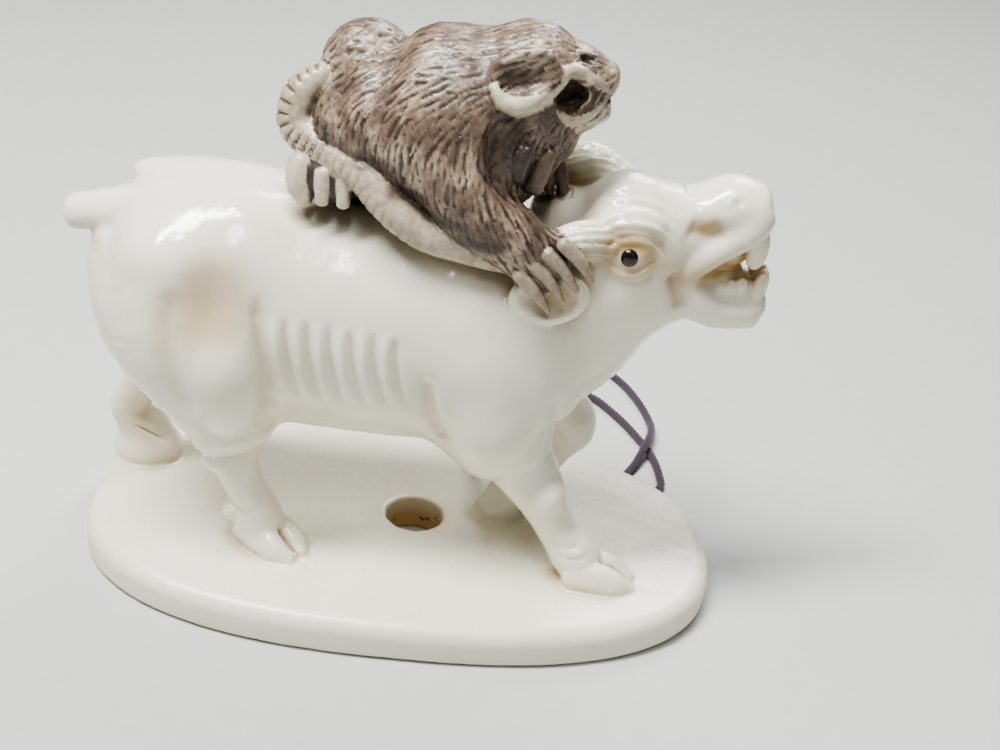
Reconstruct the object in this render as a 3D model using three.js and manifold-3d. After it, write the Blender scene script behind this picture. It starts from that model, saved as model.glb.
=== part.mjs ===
// Carved ivory netsuke: a furred beast crouches on the back of a water buffalo and grips its head.
// Both animals and the oval plinth under them are one solid. The buffalo's pupils are inlaid, and a
// thread is tied round its far foreleg.
// Millimetres, +X towards the buffalo's nose, -Y towards its near side, +Z up, underside at z = 0.

import * as THREE from 'three';
import { LoftGeometry } from 'three/addons/geometries/LoftGeometry.js';
import { mergeVertices } from 'three/addons/utils/BufferGeometryUtils.js';
import Module from 'manifold-3d';

// ---------------------------------------------------------------- driving dimensions

const PLINTH = {
	halfLength: 22.1,
	halfWidth: 12.8,
	height: 2.7,
	roundness: 2.45,        // exponent of the oval: 2 is an ellipse, more is squarer
	topRadius: 1.1,
	bottomRadius: 0.5,
	points: 36,
	cornerSteps: 2
};
const CORD_HOLE = { x: 0.8, y: 0.45, radius: 2.05, sides: 24 };
const HEAD_MIDDLE = - 0.8;              // the buffalo's head is a little towards the near side
const BEAST_MIDDLE = - 0.8;             // so is the beast's
const PUPIL = { x: 12.05, z: 26.45, reach: 3.75, radius: 0.6, length: 0.8, gap: 0.3, sides: 12 };
const RIB_DEPTH = 0.16;
const FUR_DEPTH = 0.12;
const THREAD_RADIUS = 0.33;
const CENTRE_X = 0.7;                   // moves the whole so that its box is centred on x = 0

// ---------------------------------------------------------------- shapes

const wasm = await Module();
wasm.setup();

const V = ( x, y, z ) => new THREE.Vector3( x, y, z );
const Y_AXIS = V( 0, 1, 0 );
const Z_AXIS = V( 0, 0, 1 );

// A closed geometry as a solid that can be joined and cut.
function solid( geometry ) {

	const plain = new THREE.BufferGeometry().copy( geometry );
	plain.deleteAttribute( 'normal' );
	plain.deleteAttribute( 'uv' );
	const merged = mergeVertices( plain, 1e-4 );
	return new wasm.Manifold( new wasm.Mesh( {
		numProp: 3,
		vertProperties: new Float32Array( merged.getAttribute( 'position' ).array ),
		triVerts: new Uint32Array( merged.index.array )
	} ) );

}

// A limb lofted through stations [ x, y, z, half size across, half size deep ] with domed ends.
// across is the direction of the first half size, steps is the rows from each station to the next,
// and relief( row, side, point ) lifts the surface in millimetres.
function limb( stations, { sides = 8, steps = 2, across = Y_AXIS, relief = () => 0, dome = 0.7 } = {} ) {

	const smooth = ( points ) => new THREE.CatmullRomCurve3( points, false, 'catmullrom' );
	const centres = smooth( stations.map( ( s ) => V( s[ 0 ], s[ 1 ], s[ 2 ] ) ) );
	const sizes = smooth( stations.map( ( s ) => V( s[ 3 ], s[ 4 ], 0 ) ) );
	const spans = stations.length - 1;
	const places = [];
	for ( let span = 0; span < spans; span ++ ) {

		const count = Array.isArray( steps ) ? steps[ span ] : steps;
		for ( let i = 0; i < count; i ++ ) places.push( ( span + i / count ) / spans );

	}
	places.push( 1 );
	const rings = [];
	const ring = ( t, shrink, push, row ) => {

		const along = centres.getTangent( t );
		const side = across.clone().addScaledVector( along, - across.dot( along ) ).normalize();
		const deep = along.clone().cross( side );
		const size = sizes.getPoint( t );
		const reach = Math.min( size.x, size.y ) * dome * push;
		const centre = centres.getPoint( t ).addScaledVector( along, reach );
		const points = [];
		for ( let i = 0; i < sides; i ++ ) {

			const angle = 2 * Math.PI * i / sides;
			const out = V( 0, 0, 0 )
				.addScaledVector( side, size.x * shrink * Math.cos( angle ) )
				.addScaledVector( deep, size.y * shrink * Math.sin( angle ) );
			const point = centre.clone().add( out );
			points.push( point.addScaledVector( out.normalize(), relief( row, i, point ) * shrink ) );

		}
		rings.push( points );

	};
	ring( 0, 0.3, - 0.95, 0 );
	ring( 0, 0.75, - 0.66, 1 );
	places.forEach( ( t, row ) => ring( t, 1, 0, row ) );
	ring( 1, 0.75, 0.66, 1 );
	ring( 1, 0.3, 0.95, 0 );
	return solid( new LoftGeometry( rings, { capStart: true, capEnd: true } ) );

}

// A ball with three half sizes, turned about X, Y and Z in turn, in degrees.
function ball( centre, size, turn = [ 0, 0, 0 ], segments = 8 ) {

	const geometry = new THREE.SphereGeometry( 1, segments, Math.round( segments * 0.6 ) );
	geometry.scale( ...size );
	geometry.rotateX( THREE.MathUtils.degToRad( turn[ 0 ] ) );
	geometry.rotateY( THREE.MathUtils.degToRad( turn[ 1 ] ) );
	geometry.rotateZ( THREE.MathUtils.degToRad( turn[ 2 ] ) );
	geometry.translate( ...centre );
	return solid( geometry );

}

function join( solids ) {

	return solids.reduce( ( all, next ) => all.add( next ) );

}

// Locks of fur: neighbouring points stand in and out in turn, slanting round the limb.
function fur( row, side ) {

	return FUR_DEPTH * ( ( row + side ) % 2 === 0 ? 1 : - 1 );

}

// Toes side by side, each from its knuckle to its claw, spaced by step.
function toes( count, knuckle, claw, step, radius ) {

	const made = [];
	for ( let i = 0; i < count; i ++ ) {

		const at = ( point, lift ) => point.map( ( value, k ) => value + step[ k ] * i + lift[ k ] );
		const middle = knuckle.map( ( value, k ) => ( value + claw[ k ] ) / 2 );
		made.push( limb( [
			[ ...at( knuckle, [ 0, 0, 0 ] ), radius, radius ],
			[ ...at( middle, [ 0, 0, radius * 0.4 ] ), radius, radius ],
			[ ...at( claw, [ 0, 0, 0 ] ), radius * 0.6, radius * 0.6 ]
		], { sides: 5, steps: 1 } ) );

	}
	return made;

}

// ---------------------------------------------------------------- plinth

function oval( inset, z ) {

	const points = [];
	const power = 2 / PLINTH.roundness;
	for ( let i = 0; i < PLINTH.points; i ++ ) {

		const angle = 2 * Math.PI * i / PLINTH.points;
		const c = Math.cos( angle );
		const s = Math.sin( angle );
		points.push( V(
			( PLINTH.halfLength - inset ) * Math.sign( c ) * Math.abs( c ) ** power,
			( PLINTH.halfWidth - inset ) * Math.sign( s ) * Math.abs( s ) ** power,
			z ) );

	}
	return points;

}

function plinth() {

	const { height, topRadius, bottomRadius, cornerSteps } = PLINTH;
	const rows = [ oval( bottomRadius, 0 ), oval( 0, bottomRadius ) ];
	for ( let i = 0; i <= cornerSteps; i ++ ) {

		const turn = Math.PI / 2 * i / cornerSteps;
		rows.push( oval( topRadius * ( 1 - Math.cos( turn ) ), height - topRadius * ( 1 - Math.sin( turn ) ) ) );

	}
	const slab = solid( new LoftGeometry( rows, { capStart: true, capEnd: true } ) );
	const bore = new THREE.CylinderGeometry( CORD_HOLE.radius, CORD_HOLE.radius, height * 3, CORD_HOLE.sides );
	bore.rotateX( Math.PI / 2 );
	bore.translate( CORD_HOLE.x, CORD_HOLE.y, height / 2 );
	return slab.subtract( solid( bore ) );

}

// ---------------------------------------------------------------- buffalo

function trunk() {

	// rows in the middle of the flanks stand out in turn as ribs
	const ribs = ( row, side, point ) => {

		const onFlank = point.x > - 9 && point.x < 3 && point.z > 12 && point.z < 21.5;
		return onFlank ? RIB_DEPTH * ( row % 2 === 0 ? 1 : - 1 ) : 0;

	};
	return limb( [
		[ - 19.4, 0, 18.6, 3.4, 5.4 ],
		[ - 17.0, 0, 18.9, 5.6, 7.4 ],
		[ - 13.0, 0, 18.9, 6.6, 8.1 ],
		[ - 9.0, 0, 18.4, 6.3, 7.9 ],
		[ - 5.0, 0, 18.1, 6.3, 7.8 ],
		[ - 1.0, 0, 18.2, 6.4, 8.0 ],
		[ 3.0, 0, 18.6, 6.4, 8.1 ],
		[ 6.5, 0, 19.4, 5.4, 6.8 ]
	], { sides: 14, steps: [ 1, 2, 2, 4, 4, 4, 1 ], relief: ribs } );

}

function neck() {

	return limb( [
		[ 2.5, 0, 18.2, 5.6, 7.2 ],
		[ 5.5, 0, 18.6, 5.4, 6.8 ],
		[ 8.6, - 0.3, 20.6, 4.6, 6.2 ],
		[ 11.0, - 0.6, 23.0, 4.0, 5.0 ],
		[ 12.6, HEAD_MIDDLE, 25.0, 3.4, 4.2 ]
	], { sides: 10, steps: [ 1, 2, 2, 1 ] } );

}

function hindLegs() {

	const nearHaunch = limb( [
		[ - 14.6, - 1.6, 21.5, 4.0, 5.4 ],
		[ - 14.2, - 2.6, 17.6, 4.2, 6.0 ],
		[ - 12.8, - 3.4, 13.8, 3.4, 4.3 ],
		[ - 11.9, - 3.9, 11.0, 2.3, 2.8 ]
	], { sides: 11, steps: [ 1, 2, 2 ] } );
	const nearShank = limb( [
		[ - 10.9, - 3.0, 13.2, 2.2, 3.0 ],
		[ - 11.4, - 3.8, 10.4, 1.9, 2.3 ],
		[ - 11.5, - 4.1, 8.4, 1.6, 1.9 ],
		[ - 10.7, - 4.3, 6.2, 1.5, 1.7 ],
		[ - 9.8, - 4.5, 4.2, 1.7, 1.9 ]
	] );
	const farHaunch = limb( [
		[ - 14.6, 1.8, 21.0, 3.8, 5.4 ],
		[ - 14.9, 2.8, 16.8, 3.8, 5.4 ],
		[ - 16.6, 3.8, 12.8, 2.9, 3.4 ],
		[ - 18.4, 4.5, 9.8, 1.8, 2.0 ]
	], { sides: 10, steps: [ 1, 1, 2 ] } );
	const farShank = limb( [
		[ - 17.8, 4.2, 10.6, 1.9, 2.2 ],
		[ - 19.4, 4.7, 7.8, 1.7, 1.8 ],
		[ - 20.1, 4.9, 6.3, 1.7, 1.8 ],
		[ - 19.6, 5.0, 4.8, 1.7, 1.9 ],
		[ - 19.2, 5.0, 3.6, 1.8, 2.2 ]
	], { sides: 8, steps: 1 } );
	const farHip = ball( [ - 14.0, 2.4, 26.0 ], [ 5.5, 1.8, 1.0 ] );
	return [ nearHaunch, nearShank, farHaunch, farShank, farHip ];

}

function foreLegs() {

	const nearShoulder = limb( [
		[ 5.2, - 1.8, 20.4, 4.2, 4.8 ],
		[ 5.4, - 2.8, 16.6, 4.0, 4.9 ],
		[ 5.6, - 3.5, 13.4, 3.2, 4.2 ],
		[ 6.6, - 3.9, 11.4, 2.2, 3.0 ]
	], { sides: 11, steps: [ 1, 2, 2 ] } );
	const nearShin = limb( [
		[ 6.6, - 3.8, 11.8, 2.2, 2.8 ],
		[ 8.0, - 4.3, 9.6, 1.8, 2.3 ],
		[ 9.4, - 4.6, 7.6, 1.6, 1.8 ],
		[ 10.8, - 4.8, 5.8, 1.5, 1.55 ],
		[ 12.0, - 5.0, 4.3, 1.7, 1.6 ]
	] );
	const farShoulder = limb( [
		[ 5.4, 1.8, 20.0, 4.0, 4.8 ],
		[ 6.0, 2.8, 16.0, 3.8, 4.6 ],
		[ 8.2, 3.6, 12.2, 2.6, 3.2 ],
		[ 10.4, 4.0, 9.8, 2.0, 2.2 ]
	], { sides: 10, steps: [ 1, 1, 2 ] } );
	const farShin = limb( [
		[ 10.9, 4.1, 9.4, 1.9, 1.9 ],
		[ 10.0, 3.5, 7.6, 1.6, 1.7 ],
		[ 8.2, 2.3, 5.2, 1.5, 1.5 ],
		[ 7.2, 1.6, 3.6, 1.7, 1.7 ]
	], { sides: 8, steps: 1 } );
	return [ nearShoulder, nearShin, farShoulder, farShin ];

}

// Two claws side by side on the plinth, pointing by turn degrees from +X.
function hoof( x, y, length, turn ) {

	const width = 1.15;
	const angle = THREE.MathUtils.degToRad( turn );
	return [ - 1, 1 ].map( ( side ) => ball( [
		x - Math.sin( angle ) * side * width * 0.95,
		y + Math.cos( angle ) * side * width * 0.95,
		PLINTH.height
	], [ length, width, 1.9 ], [ 0, 8, turn ], 7 ) );

}

function head() {

	const y = HEAD_MIDDLE;
	const skull = limb( [
		[ 8.6, y, 24.4, 2.6, 2.4 ],
		[ 10.4, y, 24.7, 3.6, 4.5 ],
		[ 12.4, y, 25.1, 3.9, 5.4 ],
		[ 14.4, y, 25.5, 3.2, 4.8 ],
		[ 16.0, y, 26.0, 2.4, 3.8 ]
	], { sides: 11 } );
	const muzzle = limb( [
		[ 14.2, y, 27.2, 2.8, 2.9 ],
		[ 16.2, y, 27.9, 2.4, 2.0 ],
		[ 18.2, y, 29.0, 2.3, 1.9 ],
		[ 19.6, y, 29.0, 2.2, 1.7 ]
	], { sides: 9, steps: [ 1, 1, 2 ] } );
	const palate = limb( [
		[ 15.6, y, 26.6, 1.9, 1.4 ],
		[ 18.0, y, 27.3, 1.7, 1.1 ],
		[ 20.0, y, 27.5, 1.5, 1.0 ]
	], { sides: 7, steps: 1 } );
	const jaw = limb( [
		[ 13.8, y, 22.8, 2.7, 2.5 ],
		[ 16.4, y, 22.8, 2.2, 1.5 ],
		[ 18.6, y, 22.0, 2.1, 1.2 ],
		[ 20.7, y, 22.2, 1.9, 1.2 ]
	], { sides: 8, steps: 1 } );
	const tongue = ball( [ 17.4, y + 0.4, 24.4 ], [ 2.8, 1.2, 1.9 ], [ 0, 0, 0 ], 6 );
	const poll = ball( [ 8.8, 0.8, 26.8 ], [ 2.8, 3.2, 1.6 ], [ 0, 0, 0 ], 7 );
	const eyes = [ - 1, 1 ].map( ( side ) =>
		ball( [ 12.1, y + side * 3.2, 26.4 ], [ 1.7, 0.9, 1.2 ], [ 0, 15, 0 ], 7 ) );
	const brows = [ - 1, 1 ].map( ( side ) =>
		ball( [ 11.9, y + side * 2.6, 28.0 ], [ 2.0, 1.2, 1.0 ], [ 0, 5, 0 ], 7 ) );
	const upperTeeth = [ - 1.1, 0, 1.1 ].map( ( side ) =>
		ball( [ 20.4 - 0.2 * side * side, y + side, 26.5 ], [ 0.6, 0.6, 1.1 ], [ 0, 0, 0 ], 5 ) );
	const lowerTeeth = [ - 1.2, - 0.4, 0.4, 1.2 ].map( ( side ) =>
		ball( [ 21.1 - 0.3 * side * side, y + side, 23.4 ], [ 0.5, 0.45, 1.0 ], [ 0, 0, 0 ], 5 ) );
	return [ skull, muzzle, palate, jaw, tongue, poll, ...eyes, ...brows, ...upperTeeth, ...lowerTeeth ];

}

// The far horn sweeps up and back. The near one is short, under the beast's forearm.
function horns() {

	const far = limb( [
		[ 12.0, 1.6, 27.4, 1.3, 1.5 ],
		[ 10.3, 3.2, 28.7, 1.4, 1.6 ],
		[ 8.5, 3.8, 28.6, 1.4, 1.5 ],
		[ 7.3, 3.6, 27.0, 1.1, 1.2 ]
	], { sides: 7 } );
	const near = limb( [
		[ 11.0, - 3.2, 26.8, 1.2, 1.2 ],
		[ 8.8, - 4.4, 27.0, 1.2, 1.2 ],
		[ 7.0, - 4.6, 26.2, 0.9, 0.9 ]
	], { sides: 7, steps: 1 } );
	return [ far, near ];

}

function ears() {

	return [ - 1, 1 ].map( ( side ) =>
		ball( [ 7.6, HEAD_MIDDLE + side * 4.6, 23.0 ], [ 2.9, 0.9, 1.6 ], [ 0, - 4, 0 ] ) );

}

function tail() {

	return limb( [
		[ - 14.0, 0.2, 25.2, 1.9, 1.2 ],
		[ - 17.0, 0.2, 24.7, 1.9, 1.3 ],
		[ - 20.0, 0.3, 24.0, 1.8, 1.25 ],
		[ - 22.7, 0.6, 23.3, 1.3, 1.15 ]
	] );

}

// ---------------------------------------------------------------- beast

function beastBody() {

	const trunkOfBeast = limb( [
		[ - 4.0, 0.4, 31.6, 4.2, 4.4 ],
		[ - 1.6, 0.2, 31.6, 5.2, 5.6 ],
		[ 1.0, - 0.2, 32.1, 5.4, 6.1 ],
		[ 3.2, - 0.4, 33.2, 4.8, 5.6 ],
		[ 5.0, - 0.6, 34.4, 3.8, 4.4 ]
	], { sides: 16, steps: 3, relief: fur } );
	const rump = limb( [
		[ - 5.0, 2.0, 29.0, 3.2, 3.4 ],
		[ - 5.0, 2.0, 32.0, 3.2, 3.4 ],
		[ - 4.8, 1.8, 34.4, 2.8, 2.9 ]
	], { sides: 10, steps: 2, relief: fur, dome: 1 } );
	return [ trunkOfBeast, rump ];

}

function beastHead() {

	const skull = limb( [
		[ 3.2, - 0.6, 35.2, 2.8, 2.8 ],
		[ 5.2, - 0.8, 35.5, 3.4, 3.4 ],
		[ 7.2, - 1.0, 35.4, 2.6, 2.6 ]
	], { sides: 10, relief: fur, dome: 1 } );
	const muzzle = limb( [
		[ 6.8, - 1.0, 36.1, 2.0, 1.5 ],
		[ 8.4, - 1.1, 36.2, 1.7, 1.2 ],
		[ 9.3, - 1.1, 36.0, 1.4, 1.1 ]
	], { sides: 8, steps: 1 } );
	const chin = limb( [
		[ 6.4, - 1.0, 33.4, 1.9, 1.2 ],
		[ 8.2, - 1.1, 33.9, 1.7, 1.0 ],
		[ 9.2, - 1.1, 34.4, 1.3, 0.9 ]
	], { sides: 8, steps: 1 } );
	const ears = [ - 1, 1 ].map( ( side ) =>
		ball( [ 4.2, BEAST_MIDDLE + side * 3.1, 36.3 ], [ 2.1, 0.8, 1.7 ], [ 0, - 30, 0 ] ) );
	return [ skull, muzzle, chin, ...ears ];

}

function beastLimbs() {

	const nearArm = limb( [
		[ 0.8, - 3.8, 31.6, 2.0, 3.4 ],
		[ 2.6, - 4.8, 28.8, 1.8, 2.6 ],
		[ 5.0, - 5.2, 27.0, 1.6, 2.0 ],
		[ 7.2, - 5.2, 25.6, 1.3, 1.8 ]
	], { sides: 10, relief: fur } );
	const farArm = limb( [
		[ 0.8, 3.6, 31.4, 2.0, 3.4 ],
		[ 3.4, 4.2, 29.4, 1.7, 2.2 ],
		[ 6.0, 3.2, 28.6, 1.4, 1.6 ]
	], { sides: 8, steps: 1, relief: fur } );
	const hindFoot = ball( [ - 6.6, - 2.0, 28.6 ], [ 2.0, 1.6, 1.6 ] );
	return [ nearArm, farArm, hindFoot ];

}

function beastPaws() {

	return [
		...toes( 4, [ 5.6, - 5.4, 25.2 ], [ 7.5, - 5.5, 23.1 ], [ 0.75, 0, 0.75 ], 0.6 ),
		...toes( 3, [ 5.4, 0.6, 30.2 ], [ 6.2, 0.2, 28.0 ], [ 0.9, 0, 0 ], 0.6 ),
		...toes( 3, [ - 7.7, - 2.6, 29.0 ], [ - 7.7, - 3.0, 27.0 ], [ 1.2, 0, 0 ], 0.6 )
	];

}

// The beast's tail comes off its rump, curls under the hind foot and lies along the flank.
function beastTail() {

	return limb( [
		[ - 7.2, 0.4, 34.2, 1.1, 1.1 ],
		[ - 8.6, 0.2, 32.6, 1.3, 1.3 ],
		[ - 8.5, - 0.2, 30.8, 1.3, 1.3 ],
		[ - 6.4, - 1.6, 29.6, 1.1, 1.1 ],
		[ - 4.4, - 3.2, 29.2, 0.9, 0.9 ],
		[ - 2.8, - 4.2, 27.8, 0.85, 0.85 ],
		[ - 0.6, - 4.6, 26.5, 0.85, 0.85 ],
		[ 2.2, - 4.8, 25.8, 0.8, 0.8 ],
		[ 5.2, - 4.8, 25.4, 0.75, 0.75 ]
	], { sides: 8, steps: 1 } );

}

// The beast's mouth is open at its corners.
function mouthCorner( side ) {

	return ball( [ 7.4, BEAST_MIDDLE + side * 2.6, 35.2 ], [ 1.2, 1.8, 0.9 ], [ 0, - 15, 0 ] );

}

// A short rod of dark horn in the eye. With a gap it is the cutter of the socket, open to the outside.
function pupil( side, gap = 0 ) {

	const { x, z, reach, radius, length, sides } = PUPIL;
	const outward = gap > 0 ? 1 : 0;
	const shape = new THREE.CylinderGeometry( radius + gap, radius + gap, length + gap + outward, sides );
	shape.translate( x, HEAD_MIDDLE + side * ( reach + ( outward - gap ) / 2 ), z );
	return solid( shape );

}

function carving() {

	const animals = join( [
		plinth(), trunk(), neck(), tail(), ...hindLegs(), ...foreLegs(), ...head(), ...horns(), ...ears(),
		...hoof( - 8.9, - 4.9, 2.3, - 35 ), ...hoof( 13.9, - 5.2, 2.4, - 5 ),
		...hoof( - 18.8, 5.0, 2.1, 0 ), ...hoof( 6.9, 1.3, 1.9, - 20 ),
		...beastBody(), ...beastHead(), ...beastLimbs(), ...beastPaws(), beastTail()
	] );
	const cuts = [ - 1, 1 ].flatMap( ( side ) => [ pupil( side, PUPIL.gap ), mouthCorner( side ) ] );
	return animals.subtract( join( cuts ) );

}

// ---------------------------------------------------------------- thread

// A ring of thread round the far foreleg, square to the shin.
const TIE = { centre: [ 8.6, 2.6, 5.8 ], along: [ 1.8, 1.2, 2.4 ], radius: 2.35 };

// The thread leaves the tie on the far side, drops over the plinth's edge, lies in a loose loop behind
// the buffalo, turns close to the plinth's rounded end, crosses over itself and comes back.
const THREAD_ROUTE = [
	[ 8.1, 5.4, 4.8 ], [ 7.8, 8.2, 4.1 ], [ 7.2, 11.2, 3.6 ], [ 6.9, 12.8, 3.2 ], [ 6.8, 13.7, 2.0 ],
	[ 6.8, 14.9, 0.7 ], [ 6.9, 16.8, 0.36 ], [ 7.3, 20.0, 0.36 ], [ 9.2, 23.4, 0.36 ], [ 12.2, 25.0, 0.36 ],
	[ 15.0, 24.3, 0.36 ], [ 17.0, 21.7, 0.36 ], [ 18.6, 18.5, 0.36 ], [ 19.7, 15.5, 0.36 ], [ 20.1, 12.6, 0.36 ],
	[ 20.0, 10.8, 0.36 ], [ 18.9, 9.6, 0.36 ], [ 17.6, 10.2, 0.36 ], [ 17.3, 11.8, 0.36 ], [ 18.2, 13.7, 0.5 ],
	[ 19.2, 16.0, 1.1 ], [ 19.9, 18.6, 0.8 ], [ 20.0, 21.0, 0.36 ], [ 19.3, 24.2, 0.36 ], [ 18.0, 27.4, 0.36 ],
	[ 15.8, 30.2, 0.36 ], [ 12.4, 31.4, 0.36 ], [ 8.6, 30.6, 0.36 ], [ 5.4, 27.8, 0.36 ], [ 3.8, 24.0, 0.36 ],
	[ 3.3, 20.0, 0.36 ], [ 3.3, 16.8, 0.36 ], [ 3.5, 15.0, 0.7 ], [ 3.8, 13.9, 2.0 ], [ 4.1, 13.0, 3.2 ],
	[ 4.7, 11.0, 3.7 ], [ 5.6, 7.8, 4.9 ], [ 6.6, 5.0, 6.1 ]
];
const THREAD_STEPS = 50;

function thread() {

	const section = new THREE.Shape();
	section.absarc( 0, 0, THREAD_RADIUS, 0, 2 * Math.PI, false );
	const path = new THREE.CatmullRomCurve3( THREAD_ROUTE.map( ( p ) => V( ...p ) ), false, 'centripetal' );
	return solid( new THREE.ExtrudeGeometry( section, {
		steps: THREAD_STEPS, curveSegments: 4, extrudePath: path, bevelEnabled: false
	} ) );

}

function tie() {

	const ring = new THREE.TorusGeometry( TIE.radius, THREAD_RADIUS, 6, 12 );
	const turn = new THREE.Quaternion().setFromUnitVectors( Z_AXIS, V( ...TIE.along ).normalize() );
	ring.applyQuaternion( turn );
	ring.translate( ...TIE.centre );
	return solid( ring );

}

// ---------------------------------------------------------------- the piece

function asMesh( name, shape, material ) {

	const { vertProperties, triVerts, numProp } = shape.getMesh();
	const count = vertProperties.length / numProp;
	const positions = new Float32Array( count * 3 );
	for ( let i = 0; i < count; i ++ ) {

		for ( let k = 0; k < 3; k ++ ) positions[ 3 * i + k ] = vertProperties[ numProp * i + k ];

	}
	const geometry = new THREE.BufferGeometry();
	geometry.setAttribute( 'position', new THREE.BufferAttribute( positions, 3 ) );
	geometry.setIndex( new THREE.BufferAttribute( new Uint32Array( triVerts ), 1 ) );
	geometry.computeVertexNormals();
	const mesh = new THREE.Mesh( geometry, material );
	mesh.name = name;
	return mesh;

}

const ivory = new THREE.MeshStandardMaterial( { color: 0xe9e2d2, roughness: 0.3, metalness: 0 } );
const darkHorn = new THREE.MeshStandardMaterial( { color: 0x15120f, roughness: 0.2, metalness: 0 } );
const cotton = new THREE.MeshStandardMaterial( { color: 0x2a1c2b, roughness: 0.9, metalness: 0 } );

const group = new THREE.Group();
group.add( asMesh( 'carving', carving(), ivory ) );
group.add( asMesh( 'pupil_near', pupil( - 1 ), darkHorn ) );
group.add( asMesh( 'pupil_far', pupil( 1 ), darkHorn ) );
group.add( asMesh( 'thread', thread(), cotton ) );
group.add( asMesh( 'thread_tie', tie(), cotton ) );
group.position.x = CENTRE_X;

export default group;
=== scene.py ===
import math

import bpy
import numpy as np
import openvdb
from mathutils import Matrix, Vector
from mathutils.kdtree import KDTree


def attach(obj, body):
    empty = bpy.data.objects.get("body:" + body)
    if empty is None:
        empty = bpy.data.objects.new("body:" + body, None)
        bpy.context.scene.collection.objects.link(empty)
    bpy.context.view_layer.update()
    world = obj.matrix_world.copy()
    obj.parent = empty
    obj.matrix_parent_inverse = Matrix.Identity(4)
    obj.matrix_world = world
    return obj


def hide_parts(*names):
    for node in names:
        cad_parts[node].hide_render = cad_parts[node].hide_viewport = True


# A carved ivory netsuke: a furred beast crouched on a water buffalo, on an oval plinth.
# Sizes are in millimetres in the carver's frame, whose x = 0 is the middle of the plinth:
# +X to the buffalo's nose, -Y to its near side, +Z up from the underside of the plinth.

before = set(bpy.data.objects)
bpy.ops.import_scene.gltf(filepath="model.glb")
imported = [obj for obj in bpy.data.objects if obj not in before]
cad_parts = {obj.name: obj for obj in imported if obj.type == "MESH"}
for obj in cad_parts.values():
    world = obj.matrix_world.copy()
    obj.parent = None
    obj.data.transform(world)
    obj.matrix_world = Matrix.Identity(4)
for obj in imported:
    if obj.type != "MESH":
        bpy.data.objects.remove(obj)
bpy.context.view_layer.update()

MM = 0.001
CENTRE_X = 0.7                  # from the carver's frame to the row's frame
HEAD_Y = -0.8                   # middle of the buffalo's head, and of the beast's


# ---------------------------------------------------------------- camera and thread

def place(point):
    """A point of the carver's frame in the row's frame, in metres."""
    return Vector(((point[0] + CENTRE_X) * MM, point[1] * MM, point[2] * MM))


CAMERA = {"place": (0.22, -84.934, 61.786), "azimuth": -1.754, "elevation": 31.857, "roll": 6.849}


def add_camera():
    azimuth, elevation, roll = (math.radians(CAMERA[turn]) for turn in ("azimuth", "elevation", "roll"))
    back = Vector((
        math.sin(azimuth) * math.cos(elevation),
        -math.cos(azimuth) * math.cos(elevation),
        math.sin(elevation)))
    level = Vector((math.cos(azimuth), math.sin(azimuth), 0))
    up = back.cross(level)
    right = level * math.cos(roll) + up * math.sin(roll)
    up = up * math.cos(roll) - level * math.sin(roll)
    data = bpy.data.cameras.new("camera")
    data.lens = 51.94
    data.sensor_width = 36
    data.shift_x = 0.0492
    data.shift_y = 0.0704
    data.clip_start = 0.005
    data.clip_end = 10
    camera = bpy.data.objects.new("camera", data)
    turn = Matrix((right, up, back)).transposed().to_4x4()
    camera.matrix_world = Matrix.Translation(place(CAMERA["place"])) @ turn
    bpy.context.scene.collection.objects.link(camera)
    bpy.context.scene.camera = camera


def add_mesh(name, points, faces, material):
    """A new piece from points in the carver's frame."""
    points = (np.asarray(points) + (CENTRE_X, 0, 0)) * MM
    mesh = bpy.data.meshes.new(name)
    mesh.from_pydata(points.tolist(), [], [tuple(f) for f in faces])
    mesh.shade_smooth()
    mesh.materials.append(material)
    piece = bpy.data.objects.new(name, mesh)
    bpy.context.scene.collection.objects.link(piece)
    return piece


def centripetal(points, step):
    """A smooth line through the points, with a point at about every step."""
    p = np.asarray(points, float)
    p = np.vstack([2 * p[0] - p[1], p, 2 * p[-1] - p[-2]])
    knots = np.concatenate([[0], np.cumsum(np.linalg.norm(np.diff(p, axis=0), axis=1) ** 0.5)])
    line = []
    for i in range(1, len(p) - 2):
        t0, t1, t2, t3 = knots[i - 1:i + 3]
        count = max(2, round(np.linalg.norm(p[i + 1] - p[i]) / step))
        for t in np.linspace(t1, t2, count, endpoint=False):
            a = [(p[i - 1 + k] * (knots[i + k] - t) + p[i + k] * (t - knots[i - 1 + k]))
                 / (knots[i + k] - knots[i - 1 + k]) for k in range(3)]
            b = [(a[0] * (t2 - t) + a[1] * (t - t0)) / (t2 - t0),
                 (a[1] * (t3 - t) + a[2] * (t - t1)) / (t3 - t1)]
            line.append((b[0] * (t2 - t) + b[1] * (t - t1)) / (t2 - t1))
    line.append(p[-2])
    return np.array(line)


THREAD_RADIUS = 0.33
PLY_TWIST = 1.5                 # mm of thread for one turn of its three plies
PLY_DEPTH = 0.22                # share of the radius from a ply's crown down to the groove beside it


def wrapped(rows, sides, closed=False):
    """The faces of a tube with its points in rows: closed into a ring, or with a flat face at each end."""
    faces = []
    for row in range(rows if closed else rows - 1):
        here, after = row * sides, (row + 1) % rows * sides
        for k in range(sides):
            turned = (k + 1) % sides
            faces.append((here + k, here + turned, after + turned, after + k))
    if not closed:
        faces.append(tuple(reversed(range(sides))))
        faces.append(tuple(range((rows - 1) * sides, rows * sides)))
    return faces


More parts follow.
